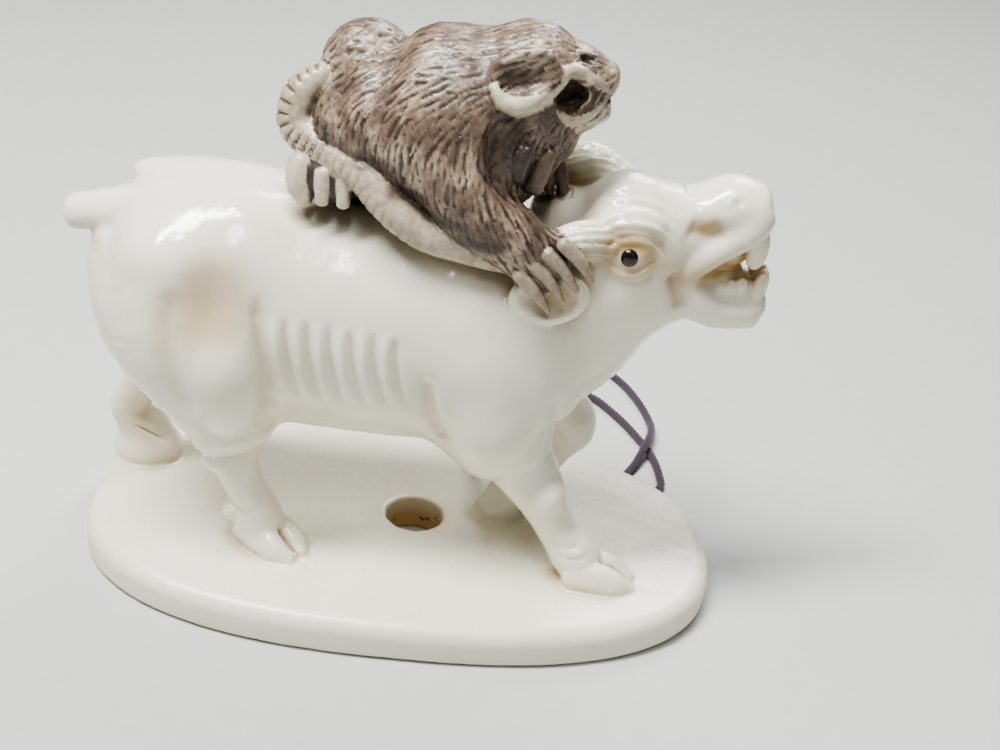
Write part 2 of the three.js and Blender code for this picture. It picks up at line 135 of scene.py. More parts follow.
def plied_tube(line, closed=False, sides=18):
    """Points and faces of a thread of three plies twisted together along a line."""
    ahead = np.roll(line, -1, axis=0) - np.roll(line, 1, axis=0)
    if not closed:
        ahead[0], ahead[-1] = line[1] - line[0], line[-1] - line[-2]
    ahead /= np.linalg.norm(ahead, axis=1)[:, None]
    run = np.concatenate([[0], np.cumsum(np.linalg.norm(np.diff(line, axis=0), axis=1))])
    side = np.cross(ahead[0], (0, 0, 1.0))
    points = []
    for centre, direction, distance in zip(line, ahead, run):
        side = side - direction * side.dot(direction)
        side /= np.linalg.norm(side)
        deep = np.cross(direction, side)
        twist = 2 * math.pi * distance / PLY_TWIST
        for k in range(sides):
            angle = 2 * math.pi * k / sides
            ply = abs(math.cos(1.5 * (angle - twist)))
            reach = THREAD_RADIUS * (1 - PLY_DEPTH + PLY_DEPTH * ply)
            points.append(centre + reach * (side * math.cos(angle) + deep * math.sin(angle)))
    return points, wrapped(len(line), sides, closed)


# the same route as the solid's: out of the tie, over the plinth's edge, a loose loop and back
THREAD_ROUTE = [
    (8.1, 5.4, 4.8), (7.8, 8.2, 4.1), (7.2, 11.2, 3.6), (6.9, 12.8, 3.2), (6.8, 13.7, 2.0),
    (6.8, 14.9, 0.7), (6.9, 16.8, 0.36), (7.3, 20.0, 0.36), (9.2, 23.4, 0.36), (12.2, 25.0, 0.36),
    (15.0, 24.3, 0.36), (17.0, 21.7, 0.36), (18.6, 18.5, 0.36), (19.7, 15.5, 0.36), (20.1, 12.6, 0.36),
    (20.0, 10.8, 0.36), (18.9, 9.6, 0.36), (17.6, 10.2, 0.36), (17.3, 11.8, 0.36), (18.2, 13.7, 0.5),
    (19.2, 16.0, 1.1), (19.9, 18.6, 0.8), (20.0, 21.0, 0.36), (19.3, 24.2, 0.36), (18.0, 27.4, 0.36),
    (15.8, 30.2, 0.36), (12.4, 31.4, 0.36), (8.6, 30.6, 0.36), (5.4, 27.8, 0.36), (3.8, 24.0, 0.36),
    (3.3, 20.0, 0.36), (3.3, 16.8, 0.36), (3.5, 15.0, 0.7), (3.8, 13.9, 2.0), (4.1, 13.0, 3.2),
    (4.7, 11.0, 3.7), (5.6, 7.8, 4.9), (6.6, 5.0, 6.1),
]
TIE = {"centre": (8.6, 2.6, 5.8), "along": (1.8, 1.2, 2.4), "radius": 2.35, "steps": 90}


def tie_line():
    """The ring of thread round the far foreleg."""
    turn = Vector((0, 0, 1)).rotation_difference(Vector(TIE["along"]))
    line = []
    for k in range(TIE["steps"]):
        angle = 2 * math.pi * k / TIE["steps"]
        ring = Vector((TIE["radius"] * math.cos(angle), TIE["radius"] * math.sin(angle), 0))
        line.append(np.array(TIE["centre"]) + np.array(turn @ ring))
    return np.array(line)


# ---------------------------------------------------------------- the carver's block: a distance field

VOXEL = 0.13
FAR_OFF = 3.0                   # what the block holds where there is no form yet
COARSE_OVER = 250000            # voxels above which a form is worked out on every second one
AT_ONCE = 60000                 # points measured together, to spare memory
BLOCK_LOW = np.array((-25.0, -14.6, -1.2))
BLOCK_SIZE = np.ceil(np.array((48.6, 29.2, 41.8)) / VOXEL / 2).astype(int) * 2 + 1
# how far each voxel stands off the carving's surface, in mm
block = np.full(BLOCK_SIZE, FAR_OFF, np.float32)


def through(stations, count):
    """A smooth line through the stations, at count even steps of its parameter."""
    p = np.asarray(stations, float)
    p = np.vstack([2 * p[0] - p[1], p, 2 * p[-1] - p[-2]])
    spans = len(p) - 3
    t = np.linspace(0, spans, count)
    i = np.minimum(t.astype(int), spans - 1)
    f = (t - i)[:, None]
    a, b, c, d = p[i], p[i + 1], p[i + 2], p[i + 3]
    return 0.5 * (2 * b + (c - a) * f + (2 * a - 5 * b + 4 * c - d) * f ** 2
                  + (3 * b - a - 3 * c + d) * f ** 3)


def unit(vectors):
    return vectors / np.maximum(np.linalg.norm(vectors, axis=-1, keepdims=True), 1e-9)


# Each shape has low and high, the corners of a box round it, and distance, which says how far points
# stand off its surface, and is below zero inside.

def off_ellipsoid(q, size):
    """About how far points stand off an ellipsoid, from their places q in its half sizes."""
    k0 = np.sqrt((q ** 2).sum(axis=1) + 1e-8)
    k1 = np.sqrt(((q / size) ** 2).sum(axis=1) + 1e-8)
    return k0 * (k0 - 1) / k1


class Limb:
    """A round form through stations of x, y, z, half size across and half size deep, with domed ends."""

    def __init__(self, stations, across=(0, 1, 0), dome=0.7):
        stations = np.asarray(stations, float)
        length = np.linalg.norm(np.diff(stations[:, :3], axis=0), axis=1).sum()
        line = through(stations, max(8, int(length / 0.45)))
        self.centre, self.size = line[:, :3], np.maximum(line[:, 3:], 0.1)
        self.along = unit(np.gradient(self.centre, axis=0))
        across = np.asarray(across, float)
        self.side = unit(across - self.along * (self.along @ across)[:, None])
        self.deep = np.cross(self.along, self.side)
        self.reach = dome * self.size.min(axis=1, keepdims=True)
        steps = np.linalg.norm(np.diff(self.centre, axis=0), axis=1)
        self.run = np.concatenate([[0], np.cumsum(steps)])
        self.step = steps.mean()
        self.low = (self.centre - self.size.max(axis=1, keepdims=True)).min(axis=0)
        self.high = (self.centre + self.size.max(axis=1, keepdims=True)).max(axis=0)

    def local(self, points):
        """For each point: distance along the limb, and its place across, deep and ahead in half sizes."""
        square = (self.centre ** 2).sum(axis=1)
        nearest = np.empty(len(points), int)
        for k in range(0, len(points), AT_ONCE):
            part = points[k:k + AT_ONCE]
            nearest[k:k + AT_ONCE] = (square - 2 * part @ self.centre.T).argmin(axis=1)
        ahead = ((points - self.centre[nearest]) * self.along[nearest]).sum(axis=1)
        place_on = np.clip(nearest + ahead / self.step, 0, len(self.centre) - 1.001)
        i = place_on.astype(int)
        f = (place_on - i)[:, None]

        def at(values):
            return values[i] * (1 - f) + values[i + 1] * f

        away = points - at(self.centre)
        size = np.hstack([at(self.size), at(self.reach)])
        axes = (at(self.side), at(self.deep), at(self.along))
        parts = np.stack([(away * axis).sum(axis=1) for axis in axes], axis=1)
        return at(self.run[:, None])[:, 0], parts / size, size

    def distance(self, points):
        _, q, size = self.local(points)
        return off_ellipsoid(q, size)


class Ball:
    """An ellipsoid of three half sizes, turned about X, Y and Z in turn, in degrees."""

    def __init__(self, centre, size, turn=(0, 0, 0)):
        self.centre, self.size = np.asarray(centre, float), np.asarray(size, float)
        x, y, z = (Matrix.Rotation(math.radians(a), 3, axis) for a, axis in zip(turn, "XYZ"))
        self.turn = np.array(z @ y @ x)
        self.low, self.high = self.centre - self.size.max(), self.centre + self.size.max()

    def distance(self, points):
        return off_ellipsoid((points - self.centre) @ self.turn / self.size, self.size)


PLINTH = {"half_length": 22.1, "half_width": 12.8, "height": 2.7, "roundness": 2.45,
          "top_radius": 1.1, "bottom_radius": 0.5}
CORD_HOLE = {"x": 0.8, "y": 0.45, "radius": 2.05}


class Plinth:
    """The oval slab, rounded along its edges."""
    low = np.array((-22.2, -12.9, 0))
    high = np.array((22.2, 12.9, 2.8))

    def distance(self, points):
        power, height = PLINTH["roundness"], PLINTH["height"]
        x = np.abs(points[:, 0]) / PLINTH["half_length"]
        y = np.abs(points[:, 1]) / PLINTH["half_width"]
        oval = (x ** power + y ** power + 1e-6) ** (1 / power)
        slope_x = (x / oval) ** (power - 1) / PLINTH["half_length"]
        slope_y = (y / oval) ** (power - 1) / PLINTH["half_width"]
        edge = (oval - 1) / np.maximum(np.hypot(slope_x, slope_y), 1e-3)
        middle = points[:, 2] - height / 2
        radius = np.where(middle > 0, PLINTH["top_radius"], PLINTH["bottom_radius"])
        out = np.maximum(edge + radius, 0)
        up = np.maximum(np.abs(middle) - height / 2 + radius, 0)
        inside = np.minimum(np.maximum(edge + radius, np.abs(middle) - height / 2 + radius), 0)
        return np.hypot(out, up) + inside - radius


class Bore:
    """The hole through the plinth."""
    low = np.array((CORD_HOLE["x"] - 2.6, CORD_HOLE["y"] - 2.6, -1.0))
    high = np.array((CORD_HOLE["x"] + 2.6, CORD_HOLE["y"] + 2.6, 3.6))

    def distance(self, points):
        across = np.hypot(points[:, 0] - CORD_HOLE["x"], points[:, 1] - CORD_HOLE["y"])
        return across - CORD_HOLE["radius"]


def region(shape, margin):
    """The slices of the block round a shape, from an even voxel to an even voxel, as finer needs them."""
    low = np.floor((shape.low - margin - BLOCK_LOW) / VOXEL / 2).astype(int) * 2
    high = np.ceil((shape.high + margin - BLOCK_LOW) / VOXEL / 2).astype(int) * 2 + 1
    low, high = np.maximum(low, 0), np.minimum(high, BLOCK_SIZE)
    return tuple(slice(a, b) for a, b in zip(low, high))


def grid_points(slices, step):
    axes = [BLOCK_LOW[k] + VOXEL * np.arange(s.start, s.stop, step) for k, s in enumerate(slices)]
    return np.stack(np.meshgrid(*axes, indexing="ij"), axis=-1)


def finer(values):
    """A field on every second voxel, filled in between."""
    for axis in range(3):
        values = np.moveaxis(values, axis, 0)
        full = np.empty((2 * len(values) - 1, *values.shape[1:]), values.dtype)
        full[::2] = values
        full[1::2] = (values[1:] + values[:-1]) / 2
        values = np.moveaxis(full, 0, axis)
    return values


def field_of(shape, slices):
    count = np.prod([s.stop - s.start for s in slices])
    step = 2 if count > COARSE_OVER else 1
    points = grid_points(slices, step)
    values = shape.distance(points.reshape(-1, 3)).astype(np.float32).reshape(points.shape[:3])
    return finer(values) if step == 2 else values


def add(shape, blend=0.5, sign=1):
    """Joins a shape to the block, with a fillet of about blend."""
    slices = region(shape, blend + 0.6)
    near, new = block[slices] * sign, field_of(shape, slices)
    overlap = np.maximum(blend - np.abs(near - new), 0) / blend
    block[slices] = (np.minimum(near, new) - overlap ** 2 * blend / 4) * sign


def cut(shape, blend=0.3):
    """Cuts a shape out of the block, with a rounded lip of about blend, by joining it to the empty space."""
    add(shape, blend, sign=-1)


# ---------------------------------------------------------------- buffalo

def add_trunk():
    add(Limb([  # barrel
        (-19.4, 0, 18.6, 3.4, 5.4), (-17.0, 0, 18.9, 5.6, 7.4), (-13.0, 0, 18.9, 6.6, 8.1),
        (-9.0, 0, 18.4, 6.3, 7.9), (-5.0, 0, 18.1, 6.3, 7.8), (-1.0, 0, 18.2, 6.4, 8.0),
        (3.0, 0, 18.6, 6.4, 8.1), (6.5, 0, 19.4, 5.4, 6.8)]))
    add(Limb([  # neck
        (2.5, 0, 18.2, 5.6, 7.2), (5.5, 0, 18.6, 5.4, 6.8), (8.6, -0.3, 20.6, 4.6, 6.2),
        (11.0, -0.6, 23.0, 4.0, 5.0), (12.6, HEAD_Y, 25.0, 3.4, 4.2)]), blend=1.5)
    add(Limb([  # short tail
        (-14.0, 0.2, 25.2, 1.9, 1.2), (-17.0, 0.2, 24.7, 1.9, 1.3), (-20.0, 0.3, 24.0, 1.8, 1.25),
        (-22.7, 0.6, 23.3, 1.3, 1.15)]), blend=0.5)
    add(Ball((-14.0, 2.4, 26.0), (5.5, 1.8, 1.0)), blend=1.2)  # ridge beside the spine


def add_hind_legs():
    add(Limb([  # near thigh
        (-14.6, -1.6, 21.5, 4.0, 5.4), (-14.2, -2.6, 17.6, 4.2, 6.0), (-12.8, -3.4, 13.8, 3.4, 4.3),
        (-11.9, -3.9, 11.0, 2.3, 2.8)]), blend=1.6)
    add(Ball((-12.2, -4.8, 16.2), (2.9, 2.6, 5.2), (0, -8, 0)), blend=0.3)  # its front lobe
    add(Limb([  # near shank
        (-10.9, -2.6, 13.2, 1.9, 2.8), (-11.3, -3.1, 10.8, 1.55, 2.1), (-11.6, -3.7, 9.0, 1.45, 1.75),
        (-11.1, -4.0, 7.4, 1.25, 1.45), (-10.4, -4.2, 6.0, 1.25, 1.45), (-9.9, -4.4, 4.8, 1.5, 1.75),
        (-9.7, -4.5, 3.8, 1.55, 1.8)]), blend=0.25)
    add(Ball((-12.8, -4.0, 9.1), (0.85, 1.0, 1.2), (0, 20, 0)), blend=0.5)  # hock
    add(Ball((-11.6, -4.6, 5.0), (0.6, 0.9, 0.6)), blend=0.4)  # dewclaw
    add(Limb([  # far thigh
        (-14.6, 1.8, 21.0, 3.8, 5.4), (-14.9, 2.8, 16.8, 3.8, 5.2), (-16.7, 3.8, 13.2, 2.7, 3.0),
        (-18.5, 4.5, 10.6, 1.6, 1.7)]), blend=1.6)
    add(Limb([  # far shank
        (-18.3, 4.2, 10.8, 1.6, 1.7), (-19.6, 4.6, 8.6, 1.35, 1.35), (-20.5, 4.9, 6.8, 1.35, 1.45),
        (-20.1, 5.0, 5.6, 1.45, 1.55), (-19.5, 5.0, 4.6, 1.6, 2.0),
        (-19.2, 5.0, 3.4, 1.8, 2.3)]), blend=0.4)
    add(Ball((-19.2, 5.0, 3.3), (2.4, 2.2, 1.5)), blend=0.6)  # far foot
    cut(Ball((-18.6, 3.3, 5.0), (1.9, 0.7, 0.1), (0, 28, 0)), blend=0.12)  # crease over it


def add_fore_legs():
    add(Limb([  # near shoulder
        (5.2, -1.8, 20.4, 4.2, 4.8), (5.4, -2.8, 16.6, 4.0, 4.9), (5.6, -3.5, 13.4, 3.2, 4.2),
        (6.6, -3.9, 11.4, 2.2, 3.0)]), blend=1.6)
    add(Ball((4.9, -4.3, 15.0), (3.5, 2.7, 5.4), (0, -8, 0)), blend=0.3)  # its lobe
    add(Limb([  # near foreleg
        (6.6, -3.6, 11.8, 2.0, 2.6), (8.2, -4.1, 9.7, 1.6, 2.1), (9.4, -4.4, 7.8, 1.35, 1.55),
        (10.6, -4.6, 6.0, 1.3, 1.4), (11.6, -4.9, 4.8, 1.55, 1.6),
        (12.2, -5.0, 4.0, 1.65, 1.6)]), blend=0.3)
    add(Ball((9.5, -4.7, 9.0), (1.0, 1.45, 1.3), (0, 35, 0)), blend=0.5)  # knee
    add(Limb([  # far shoulder
        (5.4, 1.8, 20.0, 4.0, 4.8), (6.0, 2.8, 16.0, 3.8, 4.6), (8.2, 3.6, 12.2, 2.6, 3.2),
        (10.4, 4.0, 9.8, 2.0, 2.2)]), blend=1.6)
    add(Ball((11.2, 4.0, 9.6), (1.9, 1.9, 2.2)), blend=0.6)  # far knee
    add(Limb([  # far shin, bent back
        (10.9, 4.1, 9.0, 1.8, 1.8), (10.0, 3.5, 7.6, 1.55, 1.6), (8.2, 2.3, 5.2, 1.5, 1.5),
        (7.0, 1.8, 3.8, 1.5, 1.6), (6.6, 1.7, 2.4, 1.7, 1.8)]), blend=0.9)


# place on the plinth, length, and the way it points in degrees from +X
HOOVES = ((-8.8, -4.8, 2.3, -38), (13.6, -5.3, 2.2, -4))


def add_hoof(x, y, length, turn):
    """Two pointed claws on the plinth, with the cleft between them."""
    floor = PLINTH["height"]
    ahead = np.array((math.cos(math.radians(turn)), math.sin(math.radians(turn)), 0))
    beside_it = np.array((-ahead[1], ahead[0], 0))
    for side in (-1, 1):
        middle = np.array((x, y, floor)) + beside_it * side * 0.85
        add(Limb([
            (*(middle - ahead * 0.8 * length + (0, 0, 0.4)), 0.9, 1.2),
            (*(middle - ahead * 0.2 * length + (0, 0, 0.5)), 1.05, 1.4),
            (*(middle + ahead * 0.5 * length + (0, 0, 0.2)), 0.95, 1.2),
            (*(middle + ahead * length - beside_it * side * 0.3), 0.6, 0.6)], beside_it), blend=0.2)
    cut(Ball((x + 0.9 * ahead[0] * length, y + 0.9 * ahead[1] * length, floor + 0.8),
             (length, 0.09, 0.9), (0, 14, turn)), blend=0.1)


def beside(stations, side):
    """Stations whose second number is the distance from the middle of the head, put on one side of it."""
    return [(x, HEAD_Y + side * off, z, *sizes) for x, off, z, *sizes in stations]


# by distance from the middle of the head
UPPER_LIP = [
    (15.7, 2.1, 24.7, 0.5, 0.5), (16.6, 2.2, 25.7, 0.65, 0.7), (17.5, 2.1, 26.6, 0.7, 0.8),
    (18.6, 1.9, 27.4, 0.75, 0.9), (19.6, 1.7, 28.2, 0.75, 0.9), (20.1, 1.3, 28.9, 0.7, 0.8)]
LOWER_LIP = [
    (15.6, 2.1, 24.9, 0.5, 0.5), (16.7, 1.9, 23.8, 0.6, 0.65), (18.1, 1.7, 22.8, 0.65, 0.7),
    (19.6, 1.6, 22.5, 0.6, 0.65), (20.9, 1.2, 22.8, 0.55, 0.6), (21.2, 0.2, 23.0, 0.5, 0.5)]


def add_head():
    y = HEAD_Y
    add(Limb([  # skull
        (8.6, y, 24.4, 2.6, 2.4), (10.4, y, 24.7, 3.6, 4.5), (12.4, y, 25.1, 3.9, 5.4),
        (14.4, y, 25.5, 3.2, 4.8), (16.0, y, 26.0, 2.4, 3.8)]), blend=1.2)
    add(Limb([  # muzzle
        (14.2, y, 27.2, 2.8, 2.9), (16.2, y, 27.9, 2.4, 2.0), (18.2, y, 29.0, 2.3, 1.9),
        (19.6, y, 29.0, 2.2, 1.7)]), blend=1.0)
    add(Limb([  # lower jaw
        (13.8, y, 22.8, 2.7, 2.5), (16.4, y, 22.8, 2.2, 1.5), (18.6, y, 22.0, 2.0, 1.2),
        (20.7, y, 22.2, 1.8, 1.2)]), blend=1.0)
    cut(Ball((15.55, y, 30.5), (0.5, 3.2, 1.0)), blend=0.2)  # notch of the nose
    add(Ball((17.6, y, 26.3), (2.5, 1.65, 1.5)), blend=0.4)  # palate
    add(Ball((17.2, y, 24.3), (2.8, 1.55, 1.7)), blend=0.3)  # floor of the mouth
    add(Ball((8.8, 0.8, 26.8), (2.8, 3.2, 1.6)), blend=0.9)  # top of the neck
    for side in (-1, 1):
        add(Limb(beside(UPPER_LIP, side)), blend=0.55)
        add(Limb(beside(LOWER_LIP, side)), blend=0.4)
        add(Ball((12.1, y + side * 3.2, 26.4), (1.5, 0.88, 1.0), (0, -15, 0)), blend=0.15)  # eyeball
        add(Ball((11.9, y + side * 2.6, 28.0), (2.0, 1.2, 1.0), (0, 5, 0)), blend=0.6)  # brow
        add(Ball((7.5, y + side * 4.7, 23.6), (2.5, 0.8, 1.8), (0, -12, 0)), blend=0.2)  # ear
        cut(Ball((7.5, y + side * 5.4, 23.8), (2.0, 0.65, 1.35), (0, -12, 0)), blend=0.2)  # its cup
        cut(Ball((18.3, y + side * 2.2, 30.0), (0.45, 0.4, 0.22), (0, -25, 0)), blend=0.3)  # nostril
        add(Limb(beside([(17.4, 1.3, 22.9, 0.5, 0.8), (19.2, 1.25, 23.2, 0.55, 0.9),  # gum
                         (20.5, 0.9, 23.5, 0.6, 1.0)], side)), blend=0.3)
        for x, z in ((18.3, 23.9), (19.0, 24.1), (19.7, 24.3)):
            add(Ball((x, y + side * 1.4, z), (0.42, 0.36, 0.55)), blend=0.15)  # side teeth
    for side in (-1.5, -0.75, 0, 0.75, 1.5):
        # upper front teeth
        add(Ball((20.4 - 0.12 * side * side, y + side, 26.8), (0.7, 0.45, 1.3)), blend=0.1)
    for side in (-1.2, -0.4, 0.4, 1.2):
        # lower front teeth
        add(Ball((21.1 - 0.25 * side * side, y + side, 23.8), (0.48, 0.42, 1.4), (0, 8, 0)), blend=0.08)


# the horns lie back along the neck, and the far one has a leaf-shaped root
FAR_HORN = Limb([
    (12.0, 1.6, 27.4, 1.3, 1.5), (10.3, 3.2, 28.7, 1.4, 1.6), (8.5, 3.8, 28.6, 1.4, 1.5),
    (7.3, 3.6, 27.0, 1.1, 1.2)])
HORN_BASE = Limb([
    (12.2, 1.5, 27.4, 1.2, 1.7), (10.6, 2.4, 28.2, 1.3, 2.0), (9.0, 2.8, 28.0, 1.2, 1.8),
    (7.6, 3.0, 27.2, 0.9, 1.3)])
NEAR_HORN = Limb([
    (11.0, -3.2, 26.8, 1.2, 1.2), (8.8, -4.4, 27.0, 1.2, 1.2), (7.0, -4.6, 26.2, 0.9, 0.9)])


# ---------------------------------------------------------------- beast

def row_of_toes(count, knuckle, claw, step, radius, tip=0.55):
    """Toes side by side, each from its knuckle to its claw, spaced by step. The claw's end has tip times the
    toe's radius."""
    knuckle, claw, step = (np.asarray(v, float) for v in (knuckle, claw, step))
    toes = []
    for i in range(count):
        middle = (knuckle + claw) / 2 + (0, 0, radius * 0.5)
        rows = [(knuckle, radius), (middle, radius), (claw, radius * tip)]
        toes.append(Limb([(*(at + step * i), size, size) for at, size in rows]))
    return toes


# each form of the beast, with the fillet that joins it, the share of brown in its ground, and its carving
BEAST = {
    "trunk": (Limb([
        (-4.0, 0.4, 31.6, 4.2, 4.4), (-1.6, 0.2, 31.6, 5.2, 5.6), (1.0, -0.2, 32.1, 5.4, 6.1),
        (3.2, -0.4, 33.2, 4.8, 5.6), (5.0, -0.6, 34.4, 3.8, 4.4)]), 0.8, 1.0, "locks"),
    "rump": (Limb([
        (-5.0, 2.0, 29.0, 3.2, 3.4), (-5.0, 2.0, 32.0, 3.2, 3.4), (-4.8, 1.8, 34.4, 2.8, 2.9)], dome=1),
        0.4, 0.92, "scales"),
    "haunch": (Ball((-5.7, -0.4, 31.4), (2.2, 2.3, 3.3), (0, 8, 0)), 0.35, 1.05, "scales"),
    "skull": (Limb([
        (3.2, -0.6, 35.2, 2.8, 2.8), (5.2, -0.8, 35.5, 3.4, 3.4), (7.2, -1.0, 35.4, 2.6, 2.6)], dome=1),
        0.8, 0.9, "locks"),
    "muzzle": (Limb([
        (6.8, -1.0, 36.1, 2.0, 1.5), (8.4, -1.1, 36.2, 1.7, 1.2), (9.3, -1.1, 36.0, 1.4, 1.1)]),
        0.4, 0.7, "locks"),
    "chin": (Limb([
        (6.4, -1.0, 33.4, 1.9, 1.2), (8.2, -1.1, 33.9, 1.7, 1.0), (9.2, -1.1, 34.4, 1.3, 0.9)]),
        0.3, 0.35, "locks"),
    "near_arm": (Limb([
        (0.8, -3.8, 31.6, 2.0, 3.4), (2.6, -4.8, 28.8, 1.8, 2.6), (5.0, -5.2, 27.0, 1.6, 2.0),
        (7.2, -5.2, 25.6, 1.3, 1.8)]), 0.7, 0.9, "locks"),
    "far_arm": (Limb([
        (0.8, 3.6, 31.4, 2.0, 3.4), (3.4, 4.2, 29.4, 1.7, 2.2), (6.0, 3.2, 28.6, 1.4, 1.6)]),
        0.8, 0.9, "locks"),
    "tail": (Limb([
        (-7.4, 0.4, 34.0, 0.9, 0.9), (-8.7, 0.2, 32.6, 1.2, 1.2), (-8.7, -0.2, 30.8, 1.25, 1.25),
        (-6.4, -1.7, 29.7, 1.2, 1.2), (-4.4, -3.0, 29.3, 1.2, 1.2), (-2.8, -3.9, 28.0, 1.2, 1.2),
        (-0.6, -4.5, 26.7, 1.15, 1.15), (2.2, -4.8, 26.0, 1.0, 1.0), (5.2, -4.9, 25.5, 0.85, 0.85)]),
        0.15, 0.26, "rope"),
    "foot": (Ball((-6.4, -1.8, 28.4), (2.0, 1.4, 1.6)), 0.2, 1.0, "plain"),
    "heel": (Limb([
        (-8.3, -1.8, 29.2, 0.8, 0.8), (-8.4, -2.3, 28.1, 0.8, 0.8), (-7.9, -2.7, 27.0, 0.5, 0.5)]),
        0.15, 0.15, "plain"),
}
# by distance from the middle of the head, with the share of brown
PALE_STRIPS = {
    "ear_rim": ([(2.7, 3.6, 35.9, 0.25, 0.25), (3.4, 3.75, 35.1, 0.5, 0.5), (4.4, 3.6, 35.0, 0.62, 0.62),
                 (5.5, 3.2, 35.6, 0.52, 0.52), (6.6, 2.7, 36.5, 0.38, 0.38)], 0.12),
    "upper_lip": ([(5.8, 3.1, 35.9, 0.3, 0.3), (6.5, 2.7, 36.7, 0.38, 0.38), (7.4, 2.2, 36.9, 0.4, 0.4),
                   (8.5, 1.9, 36.2, 0.45, 0.45), (9.4, 1.0, 35.8, 0.45, 0.45)], 0.25),
    "lower_lip": ([(6.2, 2.7, 34.6, 0.3, 0.3), (7.3, 2.3, 34.1, 0.38, 0.38), (8.3, 2.1, 34.4, 0.4, 0.4),
                   (8.8, 1.8, 35.1, 0.35, 0.35)], 0.2),
}
# toes of the near hand, the far hand and the foot, then the two under the jaw, with their shares of brown
TOES = [(toe, brown) for toes, brown in (
    (row_of_toes(4, (5.4, -6.4, 25.4), (7.5, -6.5, 23.2), (0.78, 0.03, 0.74), 0.44, 0.4), 0.42),
    (row_of_toes(3, (5.4, 0.6, 30.2), (6.2, 0.2, 28.0), (0.9, 0, 0), 0.5), 0.6),
    (row_of_toes(2, (-6.9, -2.8, 29.0), (-6.8, -3.1, 27.3), (1.3, -0.1, 0), 0.5, 0.9), 0.12),
    (row_of_toes(1, (5.7, -3.7, 29.9), (6.5, -3.9, 32.2), (0, 0, 0), 0.66), 0.75),
    (row_of_toes(1, (4.6, -4.5, 30.7), (5.1, -4.8, 32.6), (0, 0, 0), 0.52), 1.0),
) for toe in toes]
EARS = {side: Ball((4.4, HEAD_Y + side * 2.9, 36.4), (2.2, 0.95, 1.75), (0, -25, 0)) for side in (-1, 1)}
STRIPS = {side: [(Limb(beside(stations, side)), brown) for stations, brown in PALE_STRIPS.values()]
          for side in (-1, 1)}

# everything of the beast: form, share of brown, and carving
FORMS = [(form, brown, kind) for form, _, brown, kind in BEAST.values()]
FORMS += [(toe, brown, "plain") for toe, brown in TOES]
for side in (-1, 1):
    FORMS.append((EARS[side], 0.95, "locks"))
    FORMS += [(strip, brown, "plain") for strip, brown in STRIPS[side]]


def add_beast():
    for form, blend, _, _ in BEAST.values():
        add(form, blend)
    for side in (-1, 1):
        add(EARS[side], blend=0.4)
        cut(Ball((4.5, HEAD_Y + side * 3.8, 36.7), (1.8, 0.8, 1.25), (0, -25, 0)), blend=0.2)  # ear cup
        cut(Ball((8.05, HEAD_Y + side * 1.45, 37.4), (0.6, 0.35, 0.22), (0, 10, 0)), blend=0.12)  # eye
        cut(Ball((7.3, HEAD_Y + side * 2.6, 35.5), (1.0, 1.7, 0.75), (0, -15, 0)), blend=0.2)  # mouth
        cut(Ball((7.2, HEAD_Y + side * 2.6, 35.5), (0.5, 1.5, 1.15), (0, -15, 0)), blend=0.2)  # its corner
        for strip, _ in STRIPS[side]:
            add(strip, blend=0.2)
    cut(Ball((10.0, HEAD_Y, 35.2), (1.1, 1.6, 0.16), (0, -8, 0)), blend=0.15)  # split of the lips
    cut(Limb([  # hollow under the jaw
        (3.2, -5.0, 34.2, 0.5, 0.5), (3.3, -5.7, 32.2, 0.9, 0.8), (4.1, -5.7, 30.4, 0.8, 0.7),
        (5.4, -4.8, 29.6, 0.6, 0.6)]), blend=0.5)
    for toe, _ in TOES:
        add(toe, blend=0.08)


# ---------------------------------------------------------------- the whole carving, and its surface

def carve():
    """Joins every form to the block, from the plinth up."""
    add(Plinth(), blend=0.01)
    cut(Bore(), blend=0.25)
    add_trunk()
    add_hind_legs()
    add_fore_legs()
    for hoof in HOOVES:
        add_hoof(*hoof)
    add_head()
    add(FAR_HORN, blend=0.5)
    add(HORN_BASE, blend=0.3)
    add(NEAR_HORN, blend=0.5)
    add_beast()


def sample(points):
    """The block's field at points, between the voxels."""
    at = np.clip((points - BLOCK_LOW) / VOXEL, 0, BLOCK_SIZE - 1.001)
    i = at.astype(int)
    f = at - i
    total = 0
    for corner in np.ndindex(2, 2, 2):
        weight = np.prod(np.where(corner, f, 1 - f), axis=1)
        total = total + weight * block[tuple((i + corner).T)]
    return total


NEAR_BAND = 0.8                 # mm of the field kept each side of the surface


def surface():
    """Points and triangles of the block's surface."""
    grid = openvdb.FloatGrid(background=NEAR_BAND)
    grid.copyFromArray(np.clip(block, -NEAR_BAND, NEAR_BAND))
    points, triangles, quads = grid.convertToPolygons(isovalue=0.0, adaptivity=0.0)
    quads = np.asarray(quads)
    faces = np.vstack([np.asarray(triangles).reshape(-1, 3), quads[:, [0, 1, 2]], quads[:, [0, 2, 3]]])
    points = np.asarray(points) * VOXEL + BLOCK_LOW
    corners = points[faces[:, :3]]
    volume = np.einsum("ij,ij->i", corners[:, 0], np.cross(corners[:, 1], corners[:, 2])).sum()
    return points, faces if volume > 0 else faces[:, ::-1]


def slope(points, reach=0.2):
    """Outward directions of the block's surface at points."""
    step = np.eye(3) * reach
    return unit(np.stack([sample(points + s) - sample(points - s) for s in step], axis=1))


def smooth_step(values, low, high):
    t = np.clip((values - low) / (high - low), 0, 1)
    return t * t * (3 - 2 * t)


def crevice(points, outward):
    """0 on open surfaces, up to 1 deep between forms, from how far the block stands off the surface."""
    closed = 0
    for reach, share in ((0.4, 0.3), (0.9, 0.4), (1.8, 0.3)):
        closed = closed + share * (1 - np.clip(sample(points + outward * reach) / reach, 0, 1))
    return np.clip(closed, 0, 1)


